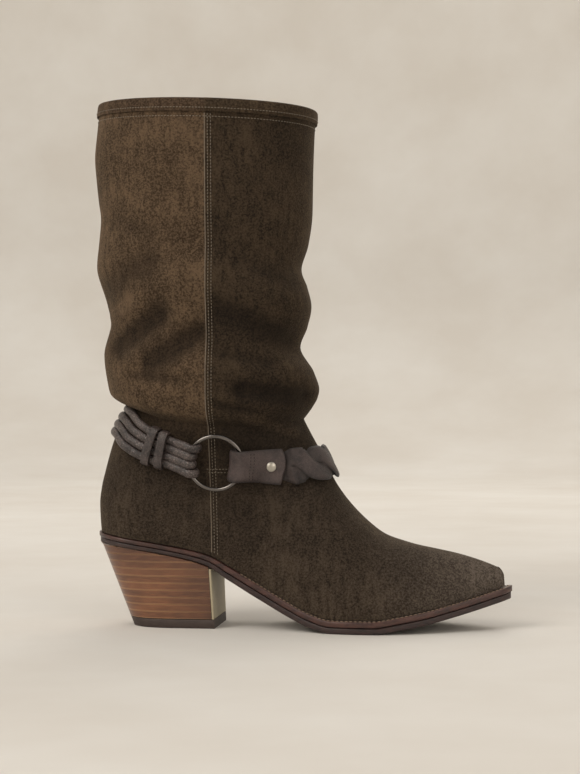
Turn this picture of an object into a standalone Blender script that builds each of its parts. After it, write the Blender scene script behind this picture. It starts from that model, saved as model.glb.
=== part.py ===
"""A right slouch boot: suede shaft in folds, pointed toe, stacked block heel and an ankle harness.

Frame: metres, +Z up, +X to the toe, +Y to the inner side. The origin is on the floor, under the
middle of the heel's base. The boot stands on its heel and on the flat of its ball.
"""
import math

import bmesh
import bpy
import numpy as np

MM = 0.001

# Overall sizes of the boot. The harness lies in the bend of the ankle, so the instep and the
# ankle's crease are measured from the ring
SOLE_LENGTH = 276 * MM
BALL_WIDTH = 87 * MM
HEEL_RISE = 54 * MM
TOE_SPRING = 20 * MM
RING_HEIGHT = 110.7 * MM
INSTEP_OVER_RING = 11.8 * MM
INSTEP_HEIGHT = RING_HEIGHT + INSTEP_OVER_RING
ANKLE_OVER_RING = 35.3 * MM
ANKLE_BACK_HEIGHT = RING_HEIGHT + ANKLE_OVER_RING
BOOT_HEIGHT = 348 * MM
COLLAR_DROP = 5.5 * MM
SHAFT_DEPTH = 145 * MM
SHAFT_WIDTH = 104 * MM

# Places along the boot, from the middle of the heel's base
HEEL_OVERHANG = 53 * MM
SHAFT_AXIS = 20.5 * MM
SEAM_PLACE = 27.5 * MM

# Walls, layers and clearances
WALL = 2.2 * MM
WELT_THICKNESS = 3.8 * MM
OUTSOLE_THICKNESS = 4.2 * MM
OUTSOLE_SET_IN = 0.8 * MM
INSOLE_THICKNESS = 2.5 * MM
SEAM_STEP = 0.6 * MM
CLEARANCE = 0.3 * MM
UPPER_CLEARANCE = 0.6 * MM

# Heel
TOP_PIECE_THICKNESS = 6.0 * MM
LIFT_THICKNESS = 4.7 * MM
HEEL_BASE_LENGTH = 58 * MM
HEEL_BASE_WIDTH = 47 * MM
HEEL_TOP_WIDTH = 55 * MM
HEEL_TOP_BREAST = 26 * MM
BREAST_THICKNESS = 1.2 * MM
HEEL_SET_IN = 1.0 * MM

# Collar binding
BINDING_HEIGHT = 7.5 * MM
BINDING_THICKNESS = 1.0 * MM

# Harness
RING_RADIUS = 17.8 * MM
RING_WIRE = 3.0 * MM
RING_PLACE = 32.0 * MM
CORD_WIDTH = 4.2 * MM
CORD_THICKNESS = 2.6 * MM
CORD_COUNT = 4
LOOP_REACH = 4.0 * MM
TAB_THICKNESS = 2.2 * MM
TAB_WIDTH = 21 * MM
TAB_END = 76 * MM
BRAID_WIDTH = 22 * MM
BRAID_BASE = 1.2 * MM
BRAID_RELIEF = 3.0 * MM
BRAID_PITCH = 21 * MM
KEEPER_LENGTH = 4.8 * MM
KEEPER_THICKNESS = 1.2 * MM
KEEPER_PLACES = (-11.5 * MM, -4.0 * MM)
RIVET_DIAMETER = 6.5 * MM
RIVET_HEIGHT = 1.4 * MM
RIVET_PLACE = 67 * MM
HARNESS_CLEARANCE = SEAM_STEP + 0.5 * MM
STRAND_SHARE = 0.46

# Fineness of the surfaces
OUTLINE_STEPS = 38
COLUMNS_BEHIND_SEAM = 8
COLUMNS_BEFORE_SEAM = 12
FOOT_LEVELS = 13


def table(names, rows):
    """A table with named columns, each an array."""
    return dict(zip(names.split(), np.array(rows, dtype=float).T))


# The sole from heel back (0) to toe tip (1): half width and centre line as shares of the ball
# width, height of the foot's seat as shares of heel rise and toe spring, layer thickness as a
# share of its full size, and how far the welt shows beyond the upper, as a share of BALL_WIDTH
SOLE = table("station half centre rise spring thick show", [
    (0.00, 0.335, 0.000, 1.000, 0.00, 0.72, 0.016),
    (0.10, 0.335, 0.000, 0.924, 0.00, 0.72, 0.016),
    (0.20, 0.322, 0.000, 0.838, 0.00, 0.74, 0.020),
    (0.28, 0.306, -0.004, 0.744, 0.00, 0.86, 0.026),
    (0.33, 0.298, -0.010, 0.610, 0.00, 1.06, 0.030),
    (0.40, 0.303, -0.015, 0.405, 0.00, 1.12, 0.032),
    (0.47, 0.352, -0.012, 0.208, 0.00, 1.10, 0.034),
    (0.53, 0.415, -0.006, 0.064, 0.00, 1.04, 0.035),
    (0.58, 0.462, 0.002, 0.000, 0.00, 1.00, 0.035),
    (0.64, 0.498, 0.012, 0.000, 0.00, 1.00, 0.036),
    (0.68, 0.500, 0.016, 0.000, 0.00, 1.00, 0.037),
    (0.74, 0.474, 0.022, 0.000, 0.13, 1.00, 0.039),
    (0.80, 0.412, 0.028, 0.000, 0.28, 1.00, 0.042),
    (0.86, 0.324, 0.034, 0.000, 0.48, 1.00, 0.045),
    (0.92, 0.222, 0.040, 0.000, 0.70, 1.00, 0.050),
    (0.96, 0.148, 0.043, 0.000, 0.86, 1.00, 0.054),
    (1.00, 0.092, 0.046, 0.000, 1.02, 1.00, 0.056),
])
HEEL_ROUND = 0.105
TOE_ROUND = 0.035

# The ridge of the vamp from the toe's feather edge (level 0) to the throat (level 1): set-in
# from the toe tip as a share of the sole's length, height over the seat as a share of the instep
RIDGE = table("level set_in height", [
    (0.00, 0.0180, 0.000),
    (0.07, 0.0196, 0.062),
    (0.13, 0.0268, 0.104),
    (0.19, 0.0362, 0.121),
    (0.26, 0.0690, 0.172),
    (0.33, 0.1200, 0.239),
    (0.40, 0.1810, 0.304),
    (0.47, 0.2430, 0.362),
    (0.54, 0.2990, 0.428),
    (0.61, 0.3480, 0.514),
    (0.69, 0.3880, 0.608),
    (0.78, 0.4180, 0.700),
    (0.88, 0.4550, 0.848),
    (1.00, 0.5000, 1.000),
])
TOE_WALL_LEVEL = 0.19

# The back of the foot from the feather edge (0) up to the ankle crease (1): set-in from the
# sole's back edge as a share of the sole's length
BACK = table("level set_in", [
    (0.00, 0.0060),
    (0.10, 0.0036),
    (0.22, 0.0022),
    (0.36, 0.0070),
    (0.48, 0.0155),
    (0.60, 0.0250),
    (0.70, 0.0340),
    (0.80, 0.0450),
    (0.90, 0.0600),
    (1.00, 0.0830),
])

# The shaft, a row for each crease and bulge from the ankle crease to the collar: rise of the
# back and of the front as shares of the shaft's height, reach to the back and front as shares of
# the shaft's depth, half width as a share of its width, sag of the sides as a share of its height
SHAFT = table("back_rise front_rise back front half sag", [
    (0.000, 0.000, 0.348, 0.445, 0.361, 0.040),
    (0.020, 0.039, 0.417, 0.486, 0.415, 0.042),
    (0.042, 0.069, 0.452, 0.509, 0.450, 0.038),
    (0.085, 0.098, 0.467, 0.517, 0.468, 0.032),
    (0.174, 0.156, 0.482, 0.490, 0.472, 0.022),
    (0.279, 0.234, 0.449, 0.429, 0.444, 0.014),
    (0.339, 0.300, 0.469, 0.461, 0.458, 0.008),
    (0.462, 0.367, 0.516, 0.480, 0.481, 0.004),
    (0.543, 0.431, 0.506, 0.461, 0.477, 0.000),
    (0.623, 0.490, 0.497, 0.434, 0.468, 0.000),
    (0.683, 0.571, 0.507, 0.466, 0.478, 0.000),
    (0.757, 0.674, 0.518, 0.485, 0.487, 0.000),
    (0.827, 0.797, 0.525, 0.488, 0.492, 0.000),
    (0.907, 0.906, 0.515, 0.493, 0.496, 0.000),
    (1.000, 1.000, 0.500, 0.500, 0.500, 0.000),
])
LAST_ROW = len(SHAFT["half"]) - 1

# Slanting creases in the sides: side (-1 outer, 1 inner), ends as a place along the boot (share
# of the shaft's depth) and a height (share of the boot's height), spread and depth as shares of
# the shaft's width; a negative depth is a ridge
CREASES = table("side start_x start_z end_x end_z spread depth", [
    (-1, -0.234, 0.532, -0.028, 0.592, 0.085, 0.036),
    (-1, -0.055, 0.506, 0.145, 0.557, 0.085, 0.036),
    (-1, 0.345, 0.451, 0.620, 0.438, 0.070, 0.040),
    (-1, 0.260, 0.600, 0.560, 0.545, 0.100, 0.026),
    (-1, -0.300, 0.640, -0.080, 0.690, 0.110, 0.022),
    (1, -0.220, 0.545, 0.050, 0.520, 0.085, 0.034),
    (1, 0.180, 0.590, 0.470, 0.540, 0.090, 0.030),
    (1, 0.300, 0.450, 0.600, 0.445, 0.070, 0.036),
    (1, -0.280, 0.700, 0.020, 0.660, 0.110, 0.024),
])

# The harness round the ankle by its place along the boot (share of the shaft's depth): height of
# its middle over the ring's, on the outer and inner side, as shares of the way up to the ankle
# crease, and the pitch of its cords as a share of their width
HARNESS = table("place outer inner pitch", [
    (-0.310, 0.768, 0.768, 1.30),
    (-0.248, 0.709, 0.709, 1.34),
    (-0.172, 0.470, 0.470, 1.42),
    (-0.076, 0.267, 0.267, 1.34),
    (0.014, 0.157, 0.157, 1.26),
    (0.131, 0.050, 0.063, 1.40),
    (0.221, 0.000, 0.016, 1.40),
    (0.379, -0.078, -0.047, 1.40),
    (0.524, -0.110, -0.094, 1.40),
    (0.759, -0.047, -0.047, 1.40),
])


def curve(rows, key, column, at):
    """A smooth curve through a table's rows that never overshoots between two of them."""
    x = rows[key]
    y = rows[column]
    width = np.diff(x)
    slope = np.diff(y) / width
    inner = np.where(slope[1:] * slope[:-1] > 0,
                     2 * slope[1:] * slope[:-1] / (slope[1:] + slope[:-1] + 1e-12), 0.0)
    tangent = np.concatenate([slope[:1], inner, slope[-1:]])
    at = np.clip(at, x[0], x[-1])
    i = np.clip(np.searchsorted(x, at, side="right") - 1, 0, len(width) - 1)
    t = (at - x[i]) / width[i]
    return (y[i] * (1 + 2 * t) * (1 - t) ** 2 + y[i + 1] * t * t * (3 - 2 * t)
            + width[i] * (tangent[i] * t * (1 - t) ** 2 - tangent[i + 1] * t * t * (1 - t)))


def ease(t):
    """A smooth step from 0 to 1."""
    t = np.clip(t, 0.0, 1.0)
    return t * t * (3 - 2 * t)


def sole_curve(column, x):
    """A column of the sole's table at a place along the boot."""
    return curve(SOLE, "station", column, (x + HEEL_OVERHANG) / SOLE_LENGTH)


SOLE_FULL = WELT_THICKNESS + CLEARANCE + OUTSOLE_THICKNESS


def seat(x):
    """Height of the welt's top, on which the upper and the insole sit."""
    return SOLE_FULL + HEEL_RISE * sole_curve("rise", x) + TOE_SPRING * sole_curve("spring", x)


def layer(x, depth):
    """Height of a face of the sole that lies a full depth below the seat."""
    return seat(x) - depth * sole_curve("thick", x)


OUTLINE_TURNS = np.linspace(0, math.pi, OUTLINE_STEPS + 1)
STATIONS = SOLE_LENGTH * (1 - np.cos(OUTLINE_TURNS)) / 2 - HEEL_OVERHANG


def sole_outline(inset):
    """The sole's outline as a closed loop of x and y, moved inward by inset (a function of x)."""
    station = (1 - np.cos(OUTLINE_TURNS)) / 2
    half = BALL_WIDTH * curve(SOLE, "station", "half", station)
    half = half * np.sqrt(1 - np.clip(1 - station / HEEL_ROUND, 0, 1) ** 2)
    half = half * np.sqrt(1 - np.clip(1 - (1 - station) / TOE_ROUND, 0, 1) ** 2)
    middle = BALL_WIDTH * curve(SOLE, "station", "centre", station)
    loop = np.stack([np.concatenate([STATIONS, STATIONS[-2:0:-1]]),
                     np.concatenate([middle - half, (middle + half)[-2:0:-1]])], axis=1)
    along = np.roll(loop, -1, axis=0) - np.roll(loop, 1, axis=0)
    outward = np.stack([along[:, 1], -along[:, 0]], axis=1)
    outward /= np.linalg.norm(outward, axis=1, keepdims=True)
    return loop - outward * inset(loop[:, 0])[:, None]


def layer_loop(inset):
    """The outline of one layer of the sole: cut at the same stations as all the others, so that
    the layers' faces stay parallel."""
    edge = sole_outline(inset)
    outer = edge[:OUTLINE_STEPS + 1]
    inner = np.concatenate([edge[OUTLINE_STEPS:], edge[:1]])[::-1]
    first, last = edge[0, 0], edge[OUTLINE_STEPS, 0]
    between = STATIONS[(STATIONS > first + CLEARANCE) & (STATIONS < last - CLEARANCE)]
    x = np.concatenate([[first], between, [last]])
    low = np.interp(x, outer[:, 0], outer[:, 1])
    high = np.interp(x, inner[:, 0], inner[:, 1])
    return np.stack([np.concatenate([x, x[-2:0:-1]]),
                     np.concatenate([low, high[-2:0:-1]])], axis=1)


def with_height(loop, height):
    """A loop in space from a loop in plan and its height as a function of x."""
    return np.column_stack([loop, height(loop[:, 0])])


def welt_show(x):
    """How far the welt stands out beyond the upper."""
    return BALL_WIDTH * sole_curve("show", x)


FEATHER = sole_outline(welt_show)
HALF_LOOP = OUTLINE_STEPS + 1


def feather_line(x):
    """Middle line and half width of the upper's lower edge at a place along the boot."""
    inner = np.concatenate([FEATHER[OUTLINE_STEPS:], FEATHER[:1]])[::-1]
    low = np.interp(x, FEATHER[:HALF_LOOP, 0], FEATHER[:HALF_LOOP, 1])
    high = np.interp(x, inner[:, 0], inner[:, 1])
    return (low + high) / 2, (high - low) / 2


SOLE_BACK = -HEEL_OVERHANG
TOE_TIP = SOLE_BACK + SOLE_LENGTH
FEATHER_BACK = FEATHER[0, 0]
FEATHER_TIP = FEATHER[OUTLINE_STEPS, 0]
THROAT = FEATHER_TIP - SOLE_LENGTH * (RIDGE["set_in"][-1] - RIDGE["set_in"][0])
ANKLE_BACK = FEATHER_BACK + SOLE_LENGTH * (BACK["set_in"][-1] - BACK["set_in"][0])
THROAT_HEIGHT = seat(THROAT) + INSTEP_HEIGHT
EDGE_BACK_HEIGHT = BOOT_HEIGHT - BINDING_THICKNESS - CLEARANCE
EDGE_FRONT_HEIGHT = EDGE_BACK_HEIGHT - COLLAR_DROP


def shaft_row(column, row):
    """A column of the shaft's table between two of its rows."""
    return curve({"row": np.arange(LAST_ROW + 1.0), column: SHAFT[column]}, "row", column, row)


def shaft_skin(turn, row):
    """The shaft's outer face: an oval for each row, hung between its back and its front."""
    share = (1 - np.cos(turn)) / 2
    back = SHAFT_AXIS - SHAFT_DEPTH * shaft_row("back", row)
    front = SHAFT_AXIS + SHAFT_DEPTH * shaft_row("front", row)
    low = ease(1 - row)
    back = back + low * (ANKLE_BACK - SHAFT_AXIS + SHAFT_DEPTH * SHAFT["back"][0])
    front = front + low * (THROAT - SHAFT_AXIS - SHAFT_DEPTH * SHAFT["front"][0])
    x = back + (front - back) * share
    side = np.sin(turn)
    y = -SHAFT_WIDTH * shaft_row("half", row) * np.sign(side) * np.abs(side) ** 0.92
    back_height = (ANKLE_BACK_HEIGHT
                   + (EDGE_BACK_HEIGHT - ANKLE_BACK_HEIGHT) * shaft_row("back_rise", row))
    front_height = (THROAT_HEIGHT
                    + (EDGE_FRONT_HEIGHT - THROAT_HEIGHT) * shaft_row("front_rise", row))
    sag = (EDGE_BACK_HEIGHT - ANKLE_BACK_HEIGHT) * shaft_row("sag", row)
    z = back_height + (front_height - back_height) * share - sag * side ** 2
    return np.stack([x, y, z], axis=-1)


def ridge_place(level):
    """Where the ring of a level meets the middle plane in front."""
    return FEATHER_TIP - SOLE_LENGTH * (curve(RIDGE, "level", "set_in", level)
                                        - RIDGE["set_in"][0])


def heel_place(level):
    """Where the ring of a level meets the middle plane at the back."""
    return FEATHER_BACK + SOLE_LENGTH * (curve(BACK, "level", "set_in", level)
                                         - BACK["set_in"][0])


def foot_skin(turn, level):
    """The foot's outer face: rings that start at the feather edge, climb the short wall of the
    toe and then close over the vamp's ridge. At a place x the wall rises from the feather line
    to the ridge, or to the ankle crease behind the throat, and leans in as a superellipse."""
    share = (1 - np.cos(turn)) / 2
    back = heel_place(level)
    front = ridge_place(level)
    x = back + (front - back) * share
    behind = (1 - share) ** 3
    toe_roll = (FEATHER_TIP - ridge_place(np.minimum(level, TOE_WALL_LEVEL))) * share ** 8
    foot_x = x + (FEATHER_BACK - back) * behind + toe_roll
    ankle_x = x + (ANKLE_BACK - back) * behind
    base = seat(x) + UPPER_CLEARANCE

    ridge_level = np.linspace(TOE_WALL_LEVEL, 1, 200)
    ridge_x = ridge_place(ridge_level)
    ridge_z = seat(ridge_x) + INSTEP_HEIGHT * curve(RIDGE, "level", "height", ridge_level)
    closing = np.interp(x, ridge_x[::-1], ridge_level[::-1])
    climb = np.clip(level / closing, 0, 1)
    arch = ease((x - THROAT + 0.25 * INSTEP_HEIGHT) / (0.6 * INSTEP_HEIGHT))
    rise = climb + arch * (np.sin(climb * math.pi / 2) - climb)

    ankle_share = np.clip((ankle_x - ANKLE_BACK) / (THROAT - ANKLE_BACK), 0, 1)
    ankle_turn = np.arccos(1 - 2 * ankle_share)
    ankle = shaft_skin(ankle_turn, np.zeros_like(ankle_turn))
    top = np.where(x > THROAT, np.interp(x, ridge_x[::-1], ridge_z[::-1]), ankle[..., 2])
    z = base + (top - base) * rise

    side = np.sin(turn)
    fullness = 2.3 - 0.3 * arch
    lean = (1 - np.minimum(rise, 1) ** fullness) ** 0.5
    middle, foot_half = feather_line(foot_x)
    ankle_half = np.where(x > THROAT, 0.0, np.abs(ankle[..., 1])) * rise
    centred = rise * ease(1 - (x - THROAT) / (0.35 * INSTEP_HEIGHT))
    y = middle * (1 - centred) - np.sign(side) * np.hypot(foot_half * lean, ankle_half)
    return np.stack([x, y, z], axis=-1)


def skin(turn, level):
    """The upper's outer face by turn (0 back, half pi outer side, pi front) and by level:
    0 to 1 is the foot, and each unit above that is a row of the shaft's table."""
    turn, level = np.broadcast_arrays(turn, level)
    foot = foot_skin(turn, np.clip(level, 0, 1))
    shaft = shaft_skin(turn, np.clip(level - 1, 0, LAST_ROW))
    return np.where((level <= 1)[..., None], foot, shaft)


def crease_depth(points):
    """How far the slanting creases press the skin in at its points."""
    x = points[..., 0]
    z = points[..., 2]
    depth = np.zeros_like(x)
    for side, x0, z0, x1, z1, spread, deep in zip(*CREASES.values()):
        ax, bx = SHAFT_DEPTH * x0, SHAFT_DEPTH * x1
        az, bz = BOOT_HEIGHT * z0, BOOT_HEIGHT * z1
        along = ((x - ax) * (bx - ax) + (z - az) * (bz - az)) / ((bx - ax) ** 2 + (bz - az) ** 2)
        along = np.clip(along, 0, 1)
        away = np.hypot(x - ax - along * (bx - ax), z - az - along * (bz - az))
        near = ease(side * points[..., 1] / (0.2 * SHAFT_WIDTH))
        depth += SHAFT_WIDTH * deep * np.exp(-(away / (SHAFT_WIDTH * spread)) ** 2) * near
    return depth


def ring_normals(points):
    """Outward normals of a grid of closed rings."""
    around = np.roll(points, -1, axis=1) - np.roll(points, 1, axis=1)
    up = np.gradient(points, axis=0)
    normal = np.cross(around, up)
    length = np.linalg.norm(normal, axis=2, keepdims=True)
    return normal / np.maximum(length, 1e-12)


def seam_turns(levels):
    """Turns of the columns on each level: they gather at the side seam, where two columns a
    step apart carry the lap of the front panel over the rear one."""
    ends = skin(np.array([[0.0, math.pi]]), levels[:, None])
    share = (SEAM_PLACE - ends[:, 0, 0]) / (ends[:, 1, 0] - ends[:, 0, 0])
    seam = np.arccos(1 - 2 * share)[:, None]
    step = 0.012
    rear = seam * np.linspace(0, 1, COLUMNS_BEHIND_SEAM + 1)[None, :]
    to_toe = 1 - np.linspace(1, 0, COLUMNS_BEFORE_SEAM + 1) ** 1.15
    front = seam + step + (math.pi - seam - step) * to_toe
    half = np.concatenate([rear, front], axis=1)
    return np.concatenate([half, 2 * math.pi - half[:, -2:0:-1]], axis=1)


def upper_levels():
    """Levels of the rings: the foot, then each crease and bulge of the shaft."""
    foot = np.linspace(0, 1, FOOT_LEVELS + 1)
    folds = np.arange(1.5, 11.5, 0.5)
    plain = np.arange(12, LAST_ROW + 2)
    return np.concatenate([foot, folds, plain])


def upper_grid():
    """The upper's outer face with its creases and the lap of its side seams."""
    levels = upper_levels()
    turns = seam_turns(levels)
    points = skin(turns, levels[:, None])
    normal = ring_normals(points)
    ahead = points[..., 0] - SEAM_PLACE
    lap = np.where(ahead > SEAM_STEP / 4, SEAM_STEP * np.exp(-ahead / (20 * SEAM_STEP)), 0.0)
    return points + normal * (lap - crease_depth(points))[..., None]


def material(name, colour, roughness, metallic=0.0):
    """A plain surface finish, colour in linear light."""
    made = bpy.data.materials.new(name)
    made.use_nodes = True
    shader = made.node_tree.nodes["Principled BSDF"]
    shader.inputs["Base Color"].default_value = (*colour, 1.0)
    shader.inputs["Roughness"].default_value = roughness
    shader.inputs["Metallic"].default_value = metallic
    return made


def solid(name, points, faces, finish):
    """One closed object whose faces point out."""
    mesh = bpy.data.meshes.new(name)
    mesh.from_pydata(np.asarray(points).reshape(-1, 3).tolist(), [], faces)
    shell = bmesh.new()
    shell.from_mesh(mesh)
    bmesh.ops.recalc_face_normals(shell, faces=shell.faces)
    if shell.calc_volume(signed=True) < 0:
        bmesh.ops.reverse_faces(shell, faces=shell.faces)
    shell.to_mesh(mesh)
    shell.free()
    mesh.materials.append(finish)
    mesh.shade_smooth()
    mesh.set_sharp_from_angle(angle=math.radians(35))
    made = bpy.data.objects.new(name, mesh)
    bpy.context.scene.collection.objects.link(made)
    return made


def grid_faces(rows, columns, start=0, closed_rows=False):
    """Faces of a grid whose rows are closed rings, and whose first and last row may join."""
    faces = []
    for i in range(rows if closed_rows else rows - 1):
        for j in range(columns):
            a = start + i * columns + j
            b = start + i * columns + (j + 1) % columns
            c = start + (i + 1) % rows * columns + (j + 1) % columns
            d = start + (i + 1) % rows * columns + j
            faces.append((a, b, c, d))
    return faces


def cap_faces(count, start=0):
    """A flat loop filled by strips across it, from its first point."""
    faces = [(start, start + 1, start + count - 1)]
    for k in range(1, (count - 1) // 2):
        faces.append((start + k, start + k + 1, start + count - k - 1, start + count - k))
    if count % 2 == 0:
        middle = start + count // 2
        faces.append((middle - 1, middle, middle + 1))
    return faces


def slab(name, bottom, top, finish):
    """A layer between two loops of points."""
    count = len(bottom)
    faces = grid_faces(2, count) + cap_faces(count) + cap_faces(count, count)
    return solid(name, np.concatenate([bottom, top]), faces, finish)


def tube(name, rings, finish):
    """A solid through closed sections, with flat ends."""
    rows, columns = rings.shape[:2]
    faces = grid_faces(rows, columns)
    faces.append(tuple(range(columns)))
    faces.append(tuple(range((rows - 1) * columns, rows * columns)))
    return solid(name, rings, faces, finish)


def sheet(name, middle, normal, thickness, finish):
    """A solid of a given thickness about a grid of points, rows along it and columns across."""
    offset = normal * (thickness[..., None] / 2)
    section = np.concatenate([middle + offset, (middle - offset)[:, ::-1]], axis=1)
    rows, columns = section.shape[:2]
    faces = grid_faces(rows, columns)
    for start in (0, (rows - 1) * columns):
        for k in range(columns // 2 - 1):
            faces.append((start + k, start + k + 1,
                          start + columns - k - 2, start + columns - k - 1))
    return solid(name, section, faces, finish)


def harness_middle(x, outer_side):
    """Height of the harness's middle line at a place along the boot."""
    outer = curve(HARNESS, "place", "outer", x / SHAFT_DEPTH)
    inner = curve(HARNESS, "place", "inner", x / SHAFT_DEPTH)
    return RING_HEIGHT + (ANKLE_BACK_HEIGHT - RING_HEIGHT) * np.where(outer_side, outer, inner)


def on_foot(turn, height):
    """The point of the foot's skin at each turn whose height is asked for."""
    levels = np.linspace(0, 1.0, 90)
    columns = skin(turn[:, None], levels[None, :])
    found = np.empty((len(turn), 3))
    for i, column in enumerate(columns):
        for axis in range(3):
            found[i, axis] = np.interp(height[i], column[:, 2], column[:, axis])
    return found


def skin_slopes(turn, height):
    """The point of the skin, how it moves with the turn and with the height, and its normal."""
    nudge = 0.02
    point = on_foot(turn, height)
    by_turn = (on_foot(turn + nudge, height) - on_foot(turn - nudge, height)) / (2 * nudge)
    by_height = (on_foot(turn, height + MM) - on_foot(turn, height - MM)) / (2 * MM)
    normal = np.cross(by_turn, by_height)
    return point, by_turn, by_height, normal / np.linalg.norm(normal, axis=1, keepdims=True)


def harness_line(turn):
    """The harness's middle line on the skin, and its height."""
    outer_side = np.sin(turn) >= 0
    point = on_foot(turn, np.full(len(turn), RING_HEIGHT))
    for _ in range(4):
        height = harness_middle(point[:, 0], outer_side)
        point = on_foot(turn, height)
    return point, height


def on_harness(turn, across):
    """Points and normals on the skin along the harness, a distance across (square to its middle
    line, upward). Also the directions along and across it."""
    nudge = 0.03
    _, height = harness_line(turn)
    ahead, _ = harness_line(turn + nudge)
    behind, _ = harness_line(turn - nudge)
    along = ahead - behind
    along /= np.linalg.norm(along, axis=1, keepdims=True)
    _, by_turn, by_height, normal = skin_slopes(turn, height)
    upward = np.cross(normal, along)
    a = np.sum(by_turn ** 2, axis=1)
    b = np.sum(by_turn * by_height, axis=1)
    c = np.sum(by_height ** 2, axis=1)
    p = np.sum(by_turn * upward, axis=1)
    q = np.sum(by_height * upward, axis=1)
    span = a * c - b * b
    turn = turn + across * (c * p - b * q) / span
    height = height + across * (a * q - b * p) / span
    point, _, _, normal = skin_slopes(turn, height)
    return point, normal, along, upward


def cord_pitch(turn):
    """Distance between neighbouring cords along the harness."""
    point, _ = harness_line(turn)
    return CORD_WIDTH * curve(HARNESS, "place", "pitch", point[:, 0] / SHAFT_DEPTH)


def turn_at(x, outer_side):
    """The turn at which the harness passes a place along the boot."""
    turns = np.linspace(0.02, math.pi - 0.02, 120)
    if not outer_side:
        turns = 2 * math.pi - turns
    point, _ = harness_line(turns)
    return float(np.interp(x, point[:, 0], turns))


def inner_face(points):
    """The upper's outer face set in by the wall, with level rims."""
    inside = points - ring_normals(points) * WALL
    inside[0, :, 2] = points[0, :, 2]
    inside[-1, :, 2] = points[-1, :, 2]
    return inside


def make_upper(points, finish):
    """One hollow sock: the outer and inner face joined by rims at the collar and at the feather
    edge."""
    section = np.concatenate([points, inner_face(points)[::-1]])
    rows, columns = section.shape[:2]
    return solid("upper", section, grid_faces(rows, columns, closed_rows=True), finish)


def below_edge(face, drop):
    """The ring of a face that lies a distance below its top edge."""
    edge, under = face[-1], face[-2]
    share = drop / (edge[:, 2] - under[:, 2])
    return edge + (under - edge) * share[:, None]


def make_binding(points, finish):
    """A folded strip over the top edge, from one face of the wall to the other."""
    inside = inner_face(points)
    normal = points[-1] - inside[-1]
    normal /= np.linalg.norm(normal, axis=1, keepdims=True)
    near = CLEARANCE
    far = CLEARANCE + BINDING_THICKNESS
    profile = [(points, near, BINDING_HEIGHT), (points, far, BINDING_HEIGHT),
               (points, far, 0), (points, near, -far),
               (inside, -near, -far), (inside, -far, 0),
               (inside, -far, BINDING_HEIGHT), (inside, -near, BINDING_HEIGHT),
               (inside, -near, -near), (points, near, -near)]
    rings = np.stack([below_edge(face, drop) + normal * out for face, out, drop in profile])
    rows, columns = rings.shape[:2]
    return solid("collar_binding", rings, grid_faces(rows, columns, closed_rows=True), finish)


def make_sole(leather, dark, lining):
    """Insole, welt and outsole, each a layer that follows the seat."""
    welt = layer_loop(lambda x: 0 * x)
    slab("welt", with_height(welt, lambda x: layer(x, WELT_THICKNESS)),
         with_height(welt, seat), leather)
    edge = layer_loop(lambda x: OUTSOLE_SET_IN + 0 * x)
    slab("outsole", with_height(edge, lambda x: layer(x, SOLE_FULL)),
         with_height(edge, lambda x: layer(x, WELT_THICKNESS + CLEARANCE)), dark)
    inside = layer_loop(lambda x: welt_show(x) + WALL + 5 * CLEARANCE
                        + 1.3 * INSOLE_THICKNESS * sole_curve("spring", x))
    slab("insole", with_height(inside, lambda x: seat(x) + CLEARANCE),
         with_height(inside, lambda x: seat(x) + CLEARANCE + INSOLE_THICKNESS), lining)


def heel_under(x):
    """Height of the heel stack's sloping top, just under the outsole's faces."""
    return np.interp(x, STATIONS, layer(STATIONS, SOLE_FULL)) - CLEARANCE


HEEL_BASE_BACK = -HEEL_BASE_LENGTH / 2
HEEL_TOP_BACK = SOLE_BACK + HEEL_SET_IN + OUTSOLE_SET_IN
HEEL_TOP_HEIGHT = heel_under(HEEL_TOP_BACK)


def heel_loop(height, end):
    """The heel's D-shaped section at a height (a number or an array): round at the back, flat
    at the breast. The end is its front face's distance behind the breast."""
    share = height / HEEL_TOP_HEIGHT
    back = HEEL_BASE_BACK + (HEEL_TOP_BACK - HEEL_BASE_BACK) * share
    front = -HEEL_BASE_BACK + (HEEL_TOP_BREAST + HEEL_BASE_BACK) * share - end
    half = (HEEL_BASE_WIDTH + (HEEL_TOP_WIDTH - HEEL_BASE_WIDTH) * share) / 2
    t = np.linspace(0, 1, 11) ** 1.7
    round_part = (1 - (1 - np.minimum(t / 0.5, 1)) ** 2.3) ** (1 / 2.3)
    outer = np.stack([back + (front - back) * t, -half * round_part], axis=1)
    inner = np.stack([outer[:0:-1, 0], -outer[:0:-1, 1]], axis=1)
    return np.concatenate([outer, inner])


def lift_layer(low, high, end):
    """Bottom and top loops of a heel layer, cut off by the sloping underside of the sole."""
    low_loop = heel_loop(low, end)
    high_loop = heel_loop(high, end)
    top = np.minimum(high, heel_under(high_loop[:, 0]))
    thick_enough = top > low + CLEARANCE
    if not thick_enough.all():
        reach = np.interp(low + 2 * CLEARANCE, heel_under(high_loop[10::-1, 0]),
                          high_loop[10::-1, 0])
        low_loop[:, 0] = np.minimum(low_loop[:, 0], reach)
        high_loop[:, 0] = np.minimum(high_loop[:, 0], reach)
        top = np.minimum(high, heel_under(high_loop[:, 0]))
    bottom = np.column_stack([low_loop, np.full(len(low_loop), low)])
    return bottom, np.column_stack([high_loop, top])


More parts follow.
